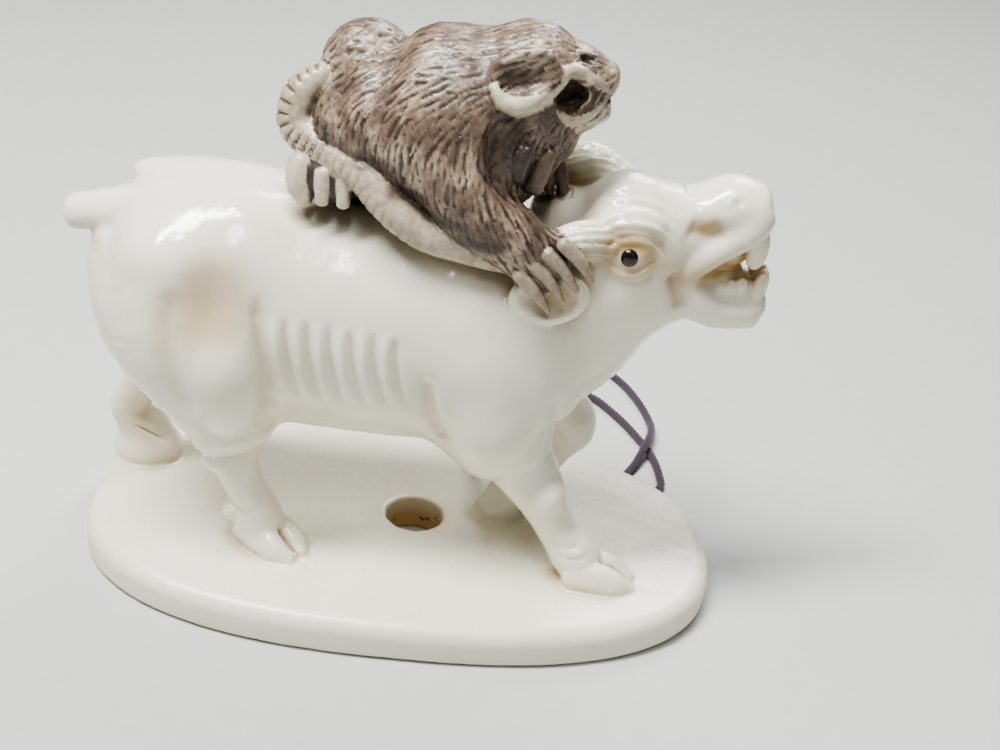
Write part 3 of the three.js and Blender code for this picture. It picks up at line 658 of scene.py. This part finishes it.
class Skin:
    """The carving's surface: its points, their outward directions, and what is carved and stained there."""

    def __init__(self, points, outward):
        self.points, self.outward = points, outward
        self.height = np.zeros(len(points))         # mm carved outwards
        self.brown = np.zeros(len(points))          # stain of the beast's ground, without its raised hair
        self.raised = np.zeros(len(points))         # share of raised, polished hair
        self.patina_and_shade = np.zeros(len(points))         # yellow of age, and painted shade inside the cord hole
        self.closed = crevice(points, outward)      # how deep between forms

    def mound(self, centre, size, height):
        """A soft swelling, or a hollow where the height is below zero, on both sides of the body."""
        for side in (1, -1):
            away = (self.points - (centre[0], centre[1] * side, centre[2])) / size
            self.height += height * np.exp(-(away ** 2).sum(axis=1))

    def yellow(self, centre, size, strength):
        away = (self.points - centre) / size
        self.patina_and_shade += strength * np.exp(-(away ** 2).sum(axis=1))

    def paint_shade(self, centre, size, strength=1.0):
        """Painted shade: black-brown laid into a cut or crease where shadow falls."""
        away = (self.points - centre) / size
        share = strength * np.exp(-(away ** 4).sum(axis=1))
        self.raised *= 1 - share
        self.brown = np.maximum(self.brown, share)
        self.closed = np.maximum(self.closed, share)

    def line(self, stations, width, height, sides=(-1, 1), middle=0.0, taper=0.15):
        """A ridge, or a groove where the height is below zero, along (x, z) stations seen from the side."""
        line = through(stations, 6 * len(stations))
        low, high = line.min(axis=0) - 3 * width, line.max(axis=0) + 3 * width
        x, z = self.points[:, 0], self.points[:, 2]
        where = np.flatnonzero((x > low[0]) & (x < high[0]) & (z > low[1]) & (z < high[1]))
        flat = self.points[where][:, [0, 2]]
        best, share = np.full(len(where), 1e9), np.zeros(len(where))
        for k, (a, b) in enumerate(zip(line[:-1], line[1:])):
            t = np.clip(((flat - a) @ (b - a)) / max((b - a) @ (b - a), 1e-9), 0, 1)
            gap = np.linalg.norm(flat - a - t[:, None] * (b - a), axis=1)
            share = np.where(gap < best, (k + t) / (len(line) - 1), share)
            best = np.minimum(gap, best)
        ends = np.minimum(1, np.minimum(share, 1 - share) / taper)
        for side in sides:
            facing = smooth_step(self.outward[where, 1] * side, 0.15, 0.5)
            facing = facing * (side * (self.points[where, 1] - middle) > 0)
            self.height[where] += height * ends * facing * np.exp(-(best / width) ** 2)

    def tool_marks(self, seed):
        """The slight unevenness that scrapers and polish leave, in waves of 0.9 to 2.6 mm."""
        dice = np.random.default_rng(seed)
        for _ in range(18):
            way = unit(dice.normal(size=3)) * 2 * math.pi / dice.uniform(0.9, 2.6)
            self.height += 0.0025 * np.sin(self.points @ way + dice.uniform(0, 2 * math.pi))

    def flutes(self, form, count, height):
        """Fine lines along a limb."""
        inside = (self.points > form.low - 0.5) & (self.points < form.high + 0.5)
        where = np.flatnonzero(inside.all(axis=1))
        run, q, _ = form.local(self.points[where])
        near = smooth_step(-np.abs(np.linalg.norm(q, axis=1) - 1), -0.3, -0.1)
        angle = np.arctan2(q[:, 0], q[:, 1])
        self.height[where] += height * near * np.cos(count * angle + 0.6 * np.sin(run))


# ---------------------------------------------------------------- relief on the buffalo

RIBS = 6
RIB_SPACING = 1.36              # mm along the flank


def carve_body(skin):
    """Ribs, the hollow of the haunch, and the creases round the thighs and the shoulders."""
    for k in range(RIBS):
        top = -9.1 + RIB_SPACING * k
        ridge = [(0, 20.9 - 0.1 * k), (0.15, 19.4), (0.5, 17.2), (1.35, 14.4 + 0.1 * k)]
        groove = [(0.68, 20.7 - 0.1 * k), (0.83, 19.4), (1.2, 17.0), (2.1, 14.2 + 0.1 * k)]
        skin.line([(top + x, z) for x, z in ridge], 0.34, 0.2, taper=0.35)
        skin.line([(top + x, z) for x, z in groove], 0.27, -0.26, taper=0.35)
    skin.mound((-12.9, -6.4, 21.0), (2.2, 3.0, 2.7), -0.85)  # hollow of the haunch
    skin.mound((-12.4, -6.8, 16.6), (1.9, 2.4, 2.4), 0.4)  # thigh
    skin.mound((-17.0, -4.6, 23.0), (2.0, 2.2, 1.8), 0.3)  # hip
    skin.line([(-15.4, 22.0), (-15.7, 19.0), (-15.2, 15.6), (-13.6, 13.0)], 0.9, -0.3)  # behind the thigh
    skin.line([(-10.2, 22.0), (-9.8, 19.0), (-9.2, 15.7), (-8.8, 12.9)], 0.45, -0.35)  # before the thigh
    skin.line([(0.6, 18.0), (1.0, 14.8), (2.4, 12.2)], 0.5, -0.4)  # behind the shoulder
    skin.line([(8.9, 17.0), (9.1, 14.2), (9.0, 11.6)], 0.4, -0.2)  # before the shoulder
    skin.line([(9.9, 5.9), (11.0, 5.6), (12.2, 5.9)], 0.16, -0.14, sides=(-1,))  # above the fore hoof
    skin.line([(10.3, 5.2), (11.4, 4.9), (12.8, 5.2)], 0.16, -0.12, sides=(-1,))
    skin.line([(-12.2, 6.1), (-11.0, 5.5), (-9.4, 5.9)], 0.18, -0.14, sides=(-1,))  # above the hind hoof
    skin.mound((5.4, -6.4, 13.4), (2.2, 2.2, 1.8), 0.2)  # elbow
    skin.mound((4.2, -6.2, 18.6), (2.6, 2.2, 2.6), 0.3)  # shoulder
    skin.mound((-12.9, -4.4, 8.8), (0.9, 1.4, 1.1), 0.3)  # hock
    skin.mound((9.9, -5.6, 8.2), (1.2, 1.6, 1.2), 0.2)  # knee
    skin.yellow((-12.9, -6.4, 20.4), (3.0, 3.2, 3.7), 0.24)  # haunch
    skin.yellow((-21.5, -0.5, 22.3), (2.4, 2.0, 0.7), 0.5)  # tail
    skin.yellow((-19.2, 4.5, 7.0), (2.2, 3.0, 3.0), 0.4)  # far shank
    for foot in ((-8.9, -4.8), (13.7, -5.3), (-18.9, 5.0), (6.4, 1.8)):
        skin.yellow((*foot, PLINTH["height"]), (3.2, 2.8, 0.6), 0.16)
    skin.yellow((CORD_HOLE["x"], CORD_HOLE["y"], 0.6), (2.6, 2.6, 1.6), 1.6)  # cord hole: yellow of age, and painted shade darkening its inside


# place by distance from the middle of the head, size and strength of yellow; below zero it is rubbed off
AGED_FACE = (
    ((12.0, 3.8, 26.6), (2.3, 1.3, 1.5), 1.0),              # eye socket
    ((12.1, 4.2, 26.4), (1.0, 0.7, 0.6), -0.75),            # eyeball
    ((15.3, 2.6, 24.4), (0.8, 1.2, 1.8), 0.25),             # furrow before the cheek
    ((16.7, 2.4, 28.3), (1.3, 0.9, 0.7), 0.6),              # hollow of the muzzle
    ((18.3, 2.0, 29.8), (0.6, 0.5, 0.3), 0.4),              # nostril
    ((9.0, 2.6, 28.6), (1.6, 1.4, 1.4), 0.25),              # roots of the horns
    ((7.5, 5.2, 23.9), (1.7, 0.7, 1.0), 0.7))               # inside of the ear


def carve_face(skin):
    """Lids, brow wrinkles, the furrow before the cheek, lips, nostrils and horns."""
    y = HEAD_Y
    upper_lid = [(10.4, 26.3), (11.1, 27.1), (12.1, 27.5), (13.1, 27.3), (13.9, 26.6), (14.9, 25.3)]
    skin.line(upper_lid, 0.22, 0.16, middle=y)  # upper lid
    skin.line([(x, z + 0.45) for x, z in upper_lid], 0.2, -0.1, middle=y)  # fold over it
    skin.line([(10.6, 26.0), (11.6, 25.35), (12.7, 25.4), (13.7, 26.2)], 0.2, 0.14, middle=y)  # lower lid
    # fold under it
    skin.line([(10.6, 25.5), (11.7, 24.8), (12.9, 24.9), (13.8, 25.6)], 0.2, -0.08, middle=y)
    for k, reach in enumerate((1.8, 2.35, 2.85, 3.3)):
        for shift, depth in ((0, 0.06), (0.26, -0.08)):
            arc = [(12.1 + (reach + shift) * 1.12 * math.cos(a), 26.2 + (reach + shift) * math.sin(a))
                   for a in np.radians((130, 110, 90, 66, 42, 18))]
            skin.line(arc[:6 - k // 2], 0.15, depth, middle=y)  # brow wrinkles
    skin.line([(14.9, 25.4), (15.6, 24.2), (16.0, 22.8)], 0.5, -0.4, middle=y)  # before the cheek
    skin.line([(15.4, 28.3), (16.6, 27.9), (17.8, 28.4)], 0.6, -0.3, middle=y)  # side of the muzzle
    skin.flutes(FAR_HORN, 17, 0.07)
    skin.flutes(HORN_BASE, 19, 0.07)
    skin.flutes(NEAR_HORN, 15, 0.06)
    for side in (-1, 1):
        for (x, off, z), size, strength in AGED_FACE:
            skin.yellow((x, y + side * off, z), size, strength)
    skin.yellow((17.3, y, 25.5), (2.2, 2.4, 1.1), 1.3)  # mouth
    skin.yellow((16.7, y, 25.0), (1.3, 2.8, 0.9), 0.6)  # its corners
    skin.yellow((8.3, 1.6, 27.6), (1.2, 1.6, 1.2), 0.5)  # far horn root


# ---------------------------------------------------------------- relief on the beast

def nearest_form(points):
    """For each point, the number of the beast's form that it lies on, and its distance from it."""
    best, which = np.full(len(points), 9.0), np.zeros(len(points), int)
    for k, (form, _, _) in enumerate(FORMS):
        inside = np.flatnonzero(((points > form.low - 1) & (points < form.high + 1)).all(axis=1))
        gap = form.distance(points[inside])
        closer = inside[gap < best[inside]]
        best[closer], which[closer] = gap[gap < best[inside]], k
    return which, best


def hair_flow(points):
    """Hair lies back along the head and the back, down the flanks, and forward down the arms."""
    x, y, z = points.T
    back = smooth_step(z, 30, 36.5)
    ahead = 0.6 * smooth_step(x, -3, 4) * (1 - smooth_step(z, 26.5, 33)) - 0.8 * back
    return np.stack([ahead, 0 * y, -(1 - 0.6 * back)], axis=1)


def comb(skin, where, lock, seed):
    """Carves overlapping pointed locks over the vertices in where. A lock is its half length, half width
    and height."""
    points, outward = skin.points[where], skin.outward[where]
    along = hair_flow(points)
    along = unit(along - outward * (along * outward).sum(axis=1)[:, None])
    tree = KDTree(len(points))
    for k, point in enumerate(points):
        tree.insert(point, k)
    tree.balance()
    dice = np.random.default_rng(seed)
    taken, raised = np.zeros(len(points), bool), np.zeros(len(points))
    for k in dice.permutation(len(points)):
        if taken[k]:
            continue
        length, width = lock[0] * dice.uniform(0.65, 1.25), lock[1] * dice.uniform(0.75, 1.25)
        turn, bend = dice.normal(0, 0.16), dice.normal(0, 0.5)
        near = np.array([found[1] for found in tree.find_range(points[k], length)])
        side = np.cross(outward[k], along[k])
        ahead = along[k] * math.cos(turn) + side * math.sin(turn)
        side = side * math.cos(turn) - along[k] * math.sin(turn)
        away = points[near] - points[k]
        s, t = away @ ahead / length, away @ side / width
        t = t - bend * s * s
        outline = np.sqrt(np.clip(1 - s * s, 1e-4, 1)) * (1 - 0.4 * s)
        lift = smooth_step(1 - (t / outline) ** 2, 0.05, 0.8) * (0.8 + 0.2 * s)
        lift[outward[near] @ outward[k] < 0.2] = 0
        raised[near] = np.maximum(raised[near], lift)
        taken[near[(s / 0.85) ** 2 + (t / 1.8) ** 2 < 1]] = True
    skin.raised[where] = raised
    skin.height[where] += lock[2] * (raised - 0.6)


BEAST_BOX = ((-11, -8, 22), (11, 9, 40))
# half length, half width and height of a lock in mm, and the seed that scatters them
HAIR = {"locks": ((0.9, 0.19, 0.1), 3), "scales": ((0.46, 0.3, 0.12), 5)}
TAIL_NICKS = 0.6                # mm from one to the next
# where the tail meets the flank, with painted shade along the seam
TAIL_SEAM = ((-3.8, -3.6, 30.3), (-1.6, -4.8, 29.0), (0.8, -5.6, 28.0), (2.9, -6.2, 27.0))


def carve_beast(skin):
    """Hair, the nicks of the tail, and painted shade, black-brown, in eyes, chin, throat and the tail's seam.
    """
    near_it = (skin.points > BEAST_BOX[0]) & (skin.points < BEAST_BOX[1])
    beast = np.flatnonzero(near_it.all(axis=1))
    which, gap = nearest_form(skin.points[beast])
    on_it = gap < 0.45
    beast, which = beast[on_it], which[on_it]
    brown = np.array([form[1] for form in FORMS])
    kind = np.array([form[2] for form in FORMS])[which]
    skin.brown[beast] = brown[which] * (1 - smooth_step(gap[on_it], 0.2, 0.45))
    skin.raised[beast] = 0.1
    for carving, (lock, seed) in HAIR.items():
        comb(skin, beast[kind == carving], lock, seed)
    tail = beast[kind == "rope"]
    run, _, _ = BEAST["tail"][0].local(skin.points[tail])
    edge = smooth_step(-skin.outward[tail, 0], 0.1, 0.5) * (0.3 + 0.7 * smooth_step(7 - run, 0, 1))
    nick = smooth_step(np.cos(2 * math.pi * run / TAIL_NICKS), 0.5, 0.9) * edge
    skin.height[tail] -= 0.14 * nick
    skin.brown[tail] = np.clip(skin.brown[tail] + 0.5 * nick, 0, 1)
    # painted shade: the beast's dark brown ground is darker still low down, below 34 mm
    low_down = 1 - smooth_step(skin.points[beast, 2], 27, 34)
    skin.brown[beast] += 0.12 * low_down * (skin.brown[beast] > 0.5)
    # painted shade: black-brown in the eyes, the split of the lips, the throat and the tail's seam
    for side in (-1, 1):
        skin.paint_shade((8.05, HEAD_Y + side * 1.5, 37.4), (0.65, 0.4, 0.3))  # eye
        skin.paint_shade((9.75, HEAD_Y + side * 0.8, 35.3), (0.6, 1.0, 0.2))  # lips
        skin.paint_shade((4.0, HEAD_Y + side * 4.0, 32.4), (1.5, 1.8, 2.1), 0.6)  # throat
    for seam in TAIL_SEAM:
        skin.paint_shade(seam, (1.6, 1.1, 0.5), 0.7)
    return beast


# ---------------------------------------------------------------- materials

def colour(code):
    """An sRGB hex value as a linear colour."""
    parts = [int(code[k:k + 2], 16) / 255 for k in (0, 2, 4)]
    return (*[c / 12.92 if c <= 0.04045 else ((c + 0.055) / 1.055) ** 2.4 for c in parts], 1)


def node(material, kind, settings=None, links=None, **values):
    """Adds a node: settings are its properties, links the nodes or sockets that feed its inputs, and values
    its other inputs, by name or, as i2, by number."""
    made = material.node_tree.nodes.new(kind)
    for key, value in (settings or {}).items():
        setattr(made, key, value)
    for key, value in values.items():
        name = int(key[1:]) if key[0] == "i" and key[1:].isdigit() else key.replace("_", " ")
        made.inputs[name].default_value = value
    for key, source in (links or {}).items():
        if isinstance(source, bpy.types.Node):
            source = next(socket for socket in source.outputs if socket.enabled)
        material.node_tree.links.new(source, made.inputs[key])
    return made


def new_material(name):
    material = bpy.data.materials.new(name)
    material.use_nodes = True
    material.node_tree.nodes.clear()
    return material


def finish_material(material, links, **values):
    """Gives the material its one shader."""
    shader = node(material, "ShaderNodeBsdfPrincipled", None, links, **values)
    node(material, "ShaderNodeOutputMaterial", links={"Surface": shader})
    return material


PER_MM = 1000                   # a noise of this scale has one wave a mm, as object coordinates are in metres


def mottled(material, waves, codes):
    """A noise of so many waves a mm, and the mix of two colours that follows it."""
    place_on = node(material, "ShaderNodeTexCoord").outputs["Object"]
    noise = node(material, "ShaderNodeTexNoise", None, {"Vector": place_on}, Scale=waves * PER_MM, Detail=3.0)
    low, high = (colour(code) for code in codes)
    return noise, node(material, "ShaderNodeMix", {"data_type": "RGBA"}, {"Factor": noise}, i6=low, i7=high)


def carved_ivory():
    """Elephant ivory, carved and polished: a translucent cream with a wet gloss, yellow where hands never
    reach it, with a warm painted shade between forms; the beast's fur is cut and stained brown, with
    black-brown painted shade between its forms, and its raised hair is polished back to cream."""
    m = new_material("polished_ivory")
    stain, raised, patina_and_shade, closed = (
        node(m, "ShaderNodeAttribute", {"attribute_name": name}).outputs["Fac"]
        for name in ("beast", "raised_hair", "patina_and_shade", "crevice"))
    place_on = node(m, "ShaderNodeTexCoord").outputs["Object"]
    # clouds 4.5 mm apart, grain, fine scratches, specks of dirt, and wear in patches of 2 mm; the grain and
    # the scratches are drawn coarser than real ones, so that they show
    cloud, grain, scratch, dots, patch = (
        node(m, "ShaderNodeTexNoise", None, {"Vector": place_on}, Scale=waves * PER_MM, Detail=detail)
        for waves, detail in ((0.22, 3.0), (2.2, 4.0), (7, 2.0), (1.6, 2.0), (0.5, 3.0)))
    cream = node(m, "ShaderNodeMix", {"data_type": "RGBA"}, {"Factor": cloud},
                 i6=colour("EFECDF"), i7=colour("E4DBC2"))
    # yellow of age, partly a warm painted shade between forms and inside the cord hole
    yellow = node(m, "ShaderNodeMapRange", None, {"Value": patina_and_shade},
                  From_Min=0.05, From_Max=0.75, To_Min=0.0, To_Max=0.95)
    aged_and_shaded = node(m, "ShaderNodeMix", {"data_type": "RGBA"}, {"Factor": yellow, "A": cream},
                i7=colour("B6955F"))
    # brown grime in specks, where the ivory is yellow and less than 6 mm up
    speck = node(m, "ShaderNodeMapRange", None, {"Value": dots}, From_Min=0.64, From_Max=0.7)
    height = node(m, "ShaderNodeSeparateXYZ", None, {"Vector": place_on}).outputs["Z"]
    low_down = node(m, "ShaderNodeMapRange", None, {"Value": height},
                    From_Min=0.004, From_Max=0.006, To_Min=1.0, To_Max=0.0)
    settled = node(m, "ShaderNodeMath", {"operation": "MULTIPLY"}, {0: yellow, 1: low_down})
    grime = node(m, "ShaderNodeMath", {"operation": "MULTIPLY"}, {0: speck, 1: settled})
    ivory = node(m, "ShaderNodeMix", {"data_type": "RGBA"}, {"Factor": grime, "A": aged_and_shaded}, i7=colour("4A3220"))
    # fur: the ground is browner the more stain it holds, and the raised hair is paler the more it is worn
    worn = node(m, "ShaderNodeMapRange", None, {"Value": patch},
                From_Min=0.38, From_Max=0.66, To_Min=0.25, To_Max=0.9)
    polished = node(m, "ShaderNodeMath", {"operation": "MULTIPLY"}, {0: raised, 1: worn})
    ground = node(m, "ShaderNodeMath", {"operation": "MULTIPLY_ADD"}, {0: grain}, i1=0.6, i2=-0.3)
    depth = node(m, "ShaderNodeMath", {"operation": "SUBTRACT"}, {0: ground, 1: polished})
    shade = node(m, "ShaderNodeMath", {"operation": "ADD", "use_clamp": True}, {0: depth, 1: stain})
    fur = node(m, "ShaderNodeValToRGB", None, {"Fac": shade})
    ramp = fur.color_ramp
    ramp.elements[0].color, ramp.elements[1].color = colour("D2C6B0"), colour("3E322A")
    ramp.elements.new(0.25).color = colour("AB9B86")
    ramp.elements.new(0.6).color = colour("7A6656")
    on_beast = node(m, "ShaderNodeMapRange", None, {"Value": stain}, From_Min=0.02, From_Max=0.08)
    skin = node(m, "ShaderNodeMix", {"data_type": "RGBA"}, {"Factor": on_beast, "A": ivory, "B": fur})
    # painted shade: black-brown where the beast's surface is closed in between its forms
    dark = node(m, "ShaderNodeMapRange", None, {"Value": closed}, From_Min=0.35, From_Max=0.95, To_Max=0.8)
    crevice_shade = node(m, "ShaderNodeMath", {"operation": "MULTIPLY"}, {0: dark, 1: on_beast})
    base = node(m, "ShaderNodeMix", {"data_type": "RGBA"}, {"Factor": crevice_shade, "A": skin}, i7=colour("241B15"))
    # gloss: dark fur is duller than pale, and the plinth, below 4 mm, is duller than the buffalo
    rough = node(m, "ShaderNodeMapRange", None, {"Value": shade}, To_Min=0.25, To_Max=0.42)
    dull = node(m, "ShaderNodeMapRange", None, {"Value": height},
                From_Min=0.0026, From_Max=0.004, To_Min=0.2, To_Max=0.0)
    rough_ivory = node(m, "ShaderNodeMath", {"operation": "MULTIPLY_ADD"}, {0: grain, 2: dull}, i1=0.24)
    gloss = node(m, "ShaderNodeMix", {"data_type": "FLOAT"}, {0: on_beast, 2: rough_ivory, 3: rough})
    bump = node(m, "ShaderNodeBump", None, {"Height": scratch}, Strength=0.12, Distance=0.00002)
    bump = node(m, "ShaderNodeBump", None, {"Height": grain, "Normal": bump}, Strength=0.2, Distance=0.00008)
    return finish_material(m, {"Base Color": base, "Roughness": gloss, "Normal": bump}, Subsurface_Weight=0.2,
                           Subsurface_Scale=0.0007, Subsurface_Radius=(1.0, 0.7, 0.45), IOR=1.54)


def dark_horn():
    """Buffalo horn, polished: nearly black with a gloss, and faint brown streaks 0.3 mm apart."""
    m = new_material("polished_dark_horn")
    streak, base = mottled(m, 3, ("0C0907", "2A1E16"))
    rough = node(m, "ShaderNodeMapRange", None, {"Value": streak}, To_Min=0.06, To_Max=0.22)
    bump = node(m, "ShaderNodeBump", None, {"Height": streak}, Strength=0.1, Distance=0.00003)
    return finish_material(m, {"Base Color": base, "Roughness": rough, "Normal": bump}, IOR=1.54)


def cotton_thread():
    """Twisted cotton sewing thread, dyed dark purple-brown: matte with a faint sheen. Its fibres are drawn
    0.1 mm apart, much coarser than real ones, so that they show."""
    m = new_material("dyed_cotton_thread")
    fibre, base = mottled(m, 9, ("1E141D", "4B3547"))
    rough = node(m, "ShaderNodeMapRange", None, {"Value": fibre}, To_Min=0.7, To_Max=0.95)
    bump = node(m, "ShaderNodeBump", None, {"Height": fibre}, Strength=0.6, Distance=0.00004)
    return finish_material(m, {"Base Color": base, "Roughness": rough, "Normal": bump}, Sheen_Weight=0.25)


def matte_paper():
    """The plain pale floor: matte paper, a little cloudy."""
    m = new_material("matte_paper")
    _, base = mottled(m, 0.6, ("BFBCB7", "C6C3BE"))
    return finish_material(m, {"Base Color": base}, Roughness=0.9)


# ---------------------------------------------------------------- pieces

TRIANGLES = 190000              # triangles the fine carving is thinned to; under the most that one piece may have


def thin_out(piece, count):
    """Fewer triangles, taken first from where the surface is flat."""
    shrink = piece.modifiers.new("thin_out", "DECIMATE")
    shrink.ratio = count / len(piece.data.polygons)
    graph = bpy.context.evaluated_depsgraph_get()
    mesh = bpy.data.meshes.new_from_object(piece.evaluated_get(graph))
    piece.modifiers.clear()
    old, piece.data = piece.data, mesh
    bpy.data.meshes.remove(old)
    mesh.name = piece.name


def set_attribute(mesh, name, values):
    layer = mesh.attributes.new(name, "FLOAT", "POINT")
    layer.data.foreach_set("value", values.astype(np.float32))


def make_carving():
    carve()
    points, faces = surface()
    skin = Skin(points, slope(points))
    carve_body(skin)
    carve_face(skin)
    beast = carve_beast(skin)
    # yellow of age gathers between forms and in grooves too; between forms it is also a warm painted shade
    patina_and_shade = skin.patina_and_shade + 0.45 * smooth_step(skin.closed, 0.25, 0.9) + np.clip(-skin.height, 0, 0.4) * 0.6
    patina_and_shade[beast] = 0
    skin.tool_marks(11)
    points = points + skin.outward * skin.height[:, None]
    piece = add_mesh("carving_fine", points, faces, carved_ivory())
    set_attribute(piece.data, "beast", skin.brown)
    set_attribute(piece.data, "raised_hair", skin.raised)
    set_attribute(piece.data, "patina_and_shade", patina_and_shade)
    set_attribute(piece.data, "crevice", skin.closed)
    thin_out(piece, TRIANGLES)
    piece.data.shade_smooth()
    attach(piece, "root")
    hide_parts("carving")


PUPIL = {"x": 12.05, "z": 26.45, "off_middle": 3.8, "radius": 0.6, "half_thickness": 0.44,
         "rows": 17, "sides": 32}


def pupil_dome(side):
    """Points and faces of a flattened ball let into the eye on one side."""
    points = []
    for tilt in np.linspace(0.05, math.pi - 0.05, PUPIL["rows"]):
        y = HEAD_Y + side * (PUPIL["off_middle"] + PUPIL["half_thickness"] * math.cos(tilt))
        reach = PUPIL["radius"] * math.sin(tilt)
        for angle in np.linspace(0, 2 * math.pi, PUPIL["sides"], endpoint=False):
            points.append((PUPIL["x"] + reach * math.cos(angle), y, PUPIL["z"] + reach * math.sin(angle)))
    return points, [face[::side] for face in wrapped(PUPIL["rows"], PUPIL["sides"])]


def make_pupils():
    """Polished domes of horn let into the eyes."""
    horn = dark_horn()
    for solid, side in (("pupil_near", -1), ("pupil_far", 1)):
        dome = add_mesh(solid + "_dome", *pupil_dome(side), horn)
        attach(dome, "root")
        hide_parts(solid)


def make_thread():
    cotton = cotton_thread()
    line = centripetal(THREAD_ROUTE, 0.15)
    points, faces = plied_tube(line)
    thread = add_mesh("sewing_thread", points, faces, cotton)
    ring, ring_faces = plied_tube(tie_line(), closed=True)
    tie = add_mesh("thread_tie_twisted", ring, ring_faces, cotton)
    for piece, solid in ((thread, "thread"), (tie, "thread_tie")):
        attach(piece, "root")
        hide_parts(solid)


# ---------------------------------------------------------------- floor and lights

FLOOR_REACH = 0.6               # metres each way
OBJECT_MIDDLE = Vector((0, 0, 0.018))
COOL_DAYLIGHT = (0.94, 0.98, 1.0)
LAMPS = (                       # place, width and height in metres, and watts
    ("window", (-0.08, -0.035, 0.25), 0.045, 0.15, 1.3),
    ("glint", (-0.01, -0.11, 0.21), 0.012, 0.09, 0.13),
    ("fill", (0.16, -0.20, 0.16), 0.2, 0.2, 0.035),
    ("rim", (0.07, 0.17, 0.22), 0.12, 0.12, 0.5))


def add_stage():
    """A plain floor under a tall window, a narrow one for its glint, and two soft lamps."""
    reach = FLOOR_REACH
    corners = [(-reach, -reach, 0), (reach, -reach, 0), (reach, reach, 0), (-reach, reach, 0)]
    mesh = bpy.data.meshes.new("floor")
    mesh.from_pydata(corners, [], [(0, 1, 2, 3)])
    floor = bpy.data.objects.new("floor", mesh)
    mesh.materials.append(matte_paper())
    bpy.context.scene.collection.objects.link(floor)
    for name, where, width, height, power in LAMPS:
        data = bpy.data.lights.new(name, "AREA")
        data.shape = "RECTANGLE"
        data.size, data.size_y = width, height
        data.energy = power
        data.color = COOL_DAYLIGHT
        light = bpy.data.objects.new(name, data)
        light.location = where
        light.rotation_mode = "QUATERNION"
        light.rotation_quaternion = (OBJECT_MIDDLE - Vector(where)).to_track_quat("-Z", "Y")
        bpy.context.scene.collection.objects.link(light)
    world = bpy.data.worlds.new("studio")
    world.use_nodes = True
    world.node_tree.nodes["Background"].inputs["Color"].default_value = colour("DDE0E6")
    world.node_tree.nodes["Background"].inputs["Strength"].default_value = 0.09
    bpy.context.scene.world = world
    bpy.context.scene.view_settings.look = "AgX - Medium High Contrast"


add_camera()
make_thread()
make_carving()
make_pupils()
add_stage()
